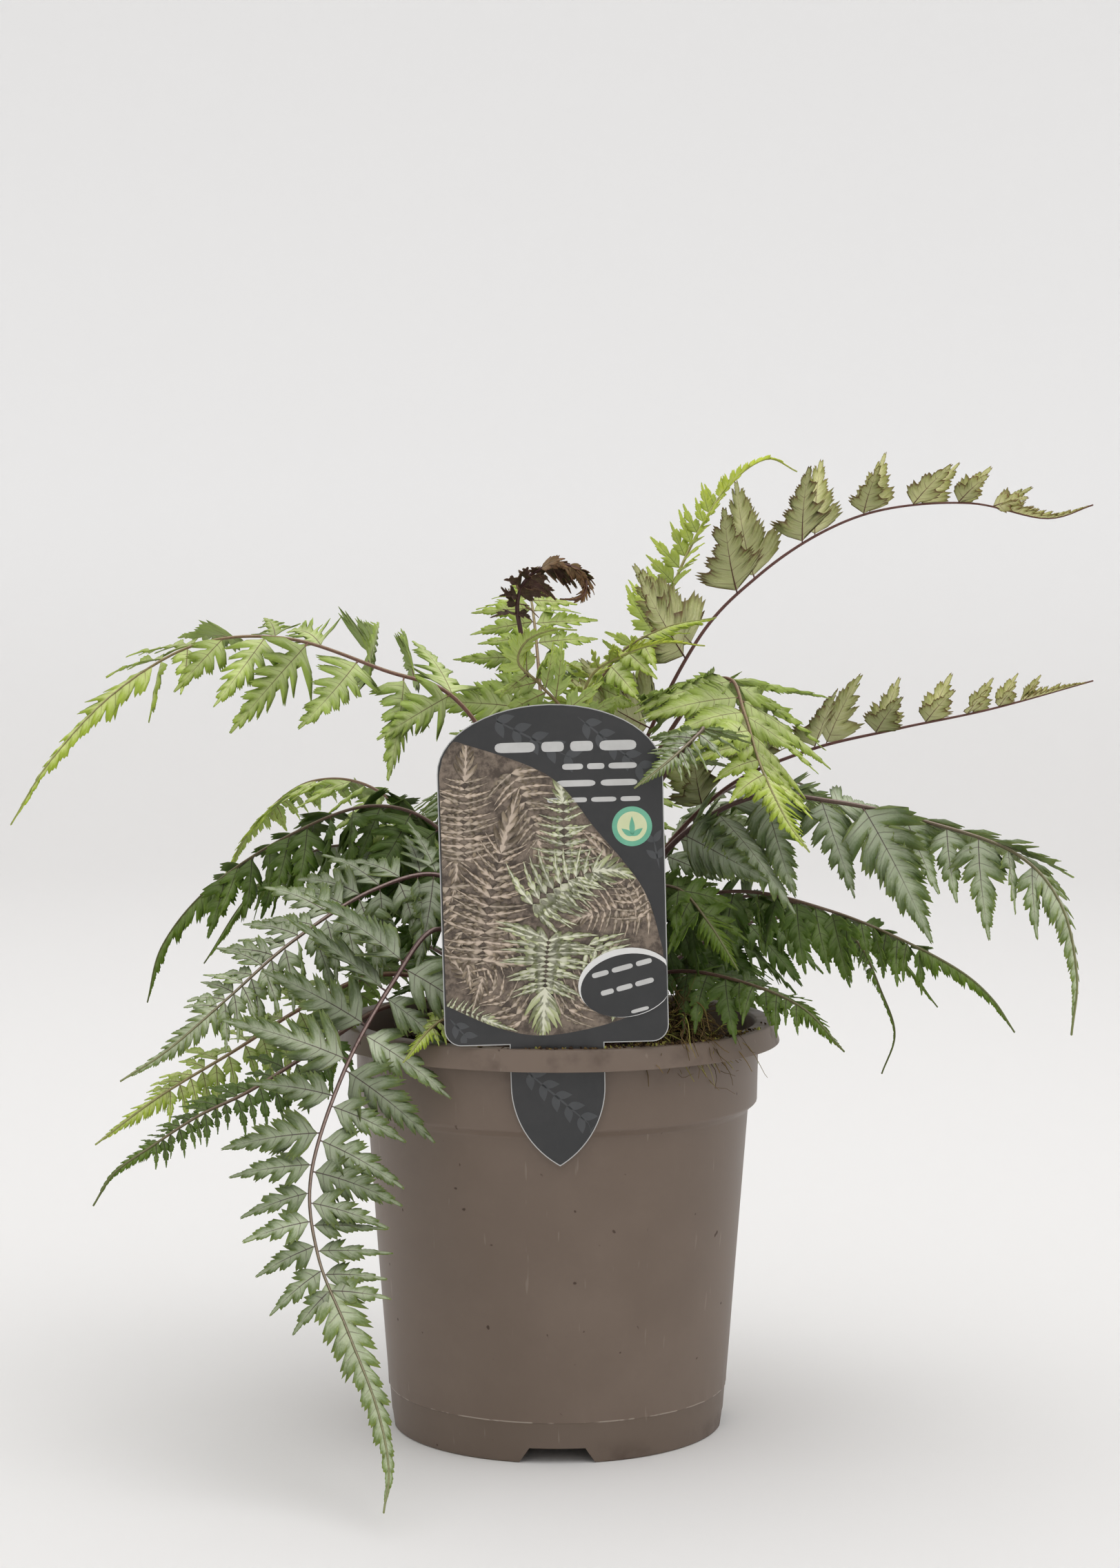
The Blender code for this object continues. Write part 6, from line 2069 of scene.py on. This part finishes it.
        ink = Shell()
        self.put(ink, self.face(self.border), 1, Ink.GROUND)
        across = np.linspace(0.8 - self.width / 2, 38.6, 60)
        low, high = self.picture_foot(across), self.picture_top(across)
        share = np.linspace(0.0, 1.0, 5)[None, :]
        self.put(ink, np.stack([np.broadcast_to(across[:, None], (60, 5)),
                                low[:, None] + (high - low)[:, None] * share], axis=-1),
                 2, Ink.PICTURE)
        for index, frond in enumerate(PICTURE_FRONDS):
            self.add_frond(ink, frond, 3 + index)
        top = 3 + len(PICTURE_FRONDS)
        self.put(ink, self.disc((25.2, 21.6), (17.2, 12.4), 8.0), top, Ink.WHITE)
        self.put(ink, self.disc((25.4, 20.6), (16.6, 11.2), 10.0), top + 1, Ink.GROUND)
        for row, (left, right) in enumerate(((13.5, 35.5), (16.5, 36.0), (27.0, 33.5))):
            size = 3.4 if row < 2 else 2.4
            self.add_words(ink, left, right, 22.5 - 6.4 * row, 22.5 - 6.4 * row + size,
                           Ink.GREY, 70 + row, top + 2, 14.0)
        self.put(ink, self.disc(self.badge, (7.1, 7.1)), 3, Ink.MINT)
        self.put(ink, self.disc(self.badge, (5.3, 5.3)), 4, Ink.CREAM)
        for angle, length in ((90.0, 7.0), (35.0, 4.6), (145.0, 4.6)):
            self.put(ink, self.leaf(np.array(self.badge) - (0.0, 3.4), angle, length, 0.95), 5,
                     Ink.MINT)
        for row, (left, right, foot, roof) in enumerate((
                (-19.3, 30.8, 103.1, 109.7), (4.4, 30.8, 97.2, 101.1),
                (2.0, 30.8, 91.1, 95.3), (-1.2, 31.8, 85.7, 88.9))):
            self.add_words(ink, left, right, foot, roof, Ink.GREY, 80 + row, 3)
        self.add_sprig(ink, (-22.0, 118.0), -28.0, 34.0, 5, 6.5)
        self.add_sprig(ink, (10.0, 117.0), -40.0, 30.0, 5, 6.0)
        self.add_sprig(ink, (-13.0, -8.0), -42.0, 36.0, 6, 6.2)
        self.add_sprig(ink, (-38.0, 10.0), -50.0, 9.0, 2, 5.0)
        self.add_sprig(ink, (38.0, 62.0), 100.0, 12.0, 2, 5.0)
        return [body, ink.build("label_print", self.make_inks(paint), "label", "label_plastic")]


# ------------------------------------------------------------------ floor, light, camera
@dataclass(frozen=True)
class Studio:
    """A pale sweep, soft light from above and the camera."""

    camera_distance: float = 1.1507
    camera_height: float = 0.3154
    camera_side: float = 0.0010
    camera_pitch: float = 3.515
    lens: float = 97.28
    floor_reach: float = 2.4
    sweep_radius: float = 1.2
    sky_strength: float = 0.915
    lamp_power: float = 8.0

    def build_floor(self) -> bpy.types.Object:
        """Build the floor: flat to its reach, then curved up like the inside of a bowl."""
        turns = np.linspace(0.0, math.pi / 2, 24)
        radius = np.concatenate([np.linspace(0.0, self.floor_reach, 30)[1:],
                                 self.floor_reach + self.sweep_radius * np.sin(turns[1:]),
                                 [self.floor_reach + self.sweep_radius]])
        height = np.concatenate([np.zeros(29), self.sweep_radius * (1.0 - np.cos(turns[1:])),
                                 [self.sweep_radius * 2.5]])
        angle = np.linspace(0.0, 2 * math.pi, 97)[:-1]
        grid = np.stack([radius[:, None] * np.cos(angle), radius[:, None] * np.sin(angle),
                         np.broadcast_to(height[:, None], (len(radius), len(angle)))], axis=-1)
        shell = Shell()
        first = shell.add_points(np.concatenate([grid.reshape(-1, 3), [[0.0, 0.0, 0.0]]]))
        shell.add_faces(first + grid_faces(len(radius), len(angle), wrap=True))
        shell.add_fan(len(radius) * len(angle), np.arange(len(angle)))
        material, w, shader = new_material("pale_floor", 0.85, 0.2)
        where = w.node("ShaderNodeSeparateXYZ")
        w.join(w.coordinates(), where.inputs[0])
        w.join(w.mix(w.ramp(where.outputs["Z"], 0.0, 0.5), tint(237, 236, 235),
                     tint(247, 247, 247)), shader["Base Color"])
        floor = shell.build("studio_floor", [material])
        floor.visible_shadow = False
        return floor

    def build_light(self) -> None:
        """Set an even pale sky and two large soft lamps above."""
        world = bpy.data.worlds.new("studio")
        world.use_nodes = True
        sky = world.node_tree.nodes["Background"]
        sky.inputs["Color"].default_value = (1.0, 0.99, 0.985, 1.0)
        sky.inputs["Strength"].default_value = self.sky_strength
        bpy.context.scene.world = world
        for name, place, size in (("key_lamp", (0.9, -0.7, 2.0), 1.6),
                                  ("top_lamp", (-0.5, 0.6, 2.3), 2.2)):
            lamp = bpy.data.lights.new(name, "AREA")
            lamp.shape = "DISK"
            lamp.size = size
            lamp.energy = self.lamp_power
            item = bpy.data.objects.new(name, lamp)
            item.location = place
            aim = Vector((0.0, 0.0, 0.15)) - Vector(place)
            item.rotation_euler = aim.to_track_quat("-Z", "Y").to_euler()
            bpy.context.scene.collection.objects.link(item)

    def build_camera(self) -> None:
        """Place the camera in front, a little above the foliage's middle."""
        lens = bpy.data.cameras.new("camera")
        lens.sensor_fit = "HORIZONTAL"
        lens.sensor_width = 36.0
        lens.lens = self.lens
        lens.clip_end = 20.0
        item = bpy.data.objects.new("camera", lens)
        item.location = (self.camera_side, -self.camera_distance, self.camera_height)
        item.rotation_euler = (math.radians(90.0 - self.camera_pitch), 0.0, 0.0)
        bpy.context.scene.collection.objects.link(item)
        bpy.context.scene.camera = item
        bpy.context.scene.view_settings.view_transform = "Standard"


def main() -> None:
    """Dress the frame piece by piece."""
    logging.basicConfig(level=logging.INFO, format="%(name)s: %(message)s")
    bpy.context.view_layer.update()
    studio = Studio()
    studio.build_floor()
    studio.build_light()
    studio.build_camera()
    effects = Effects()
    paint = LeafPaint()
    pieces = [Pot().build(effects), Compost().build(), Crown().build(), Moss().build()]
    pieces += Label().build(paint)
    pieces += [frond.build(paint, number) for number, frond in enumerate(FRONDS, 1)]
    for item in pieces:
        LOG.info("%s: %d faces", item.name, len(item.data.polygons))


if __name__ == "__main__":
    main()
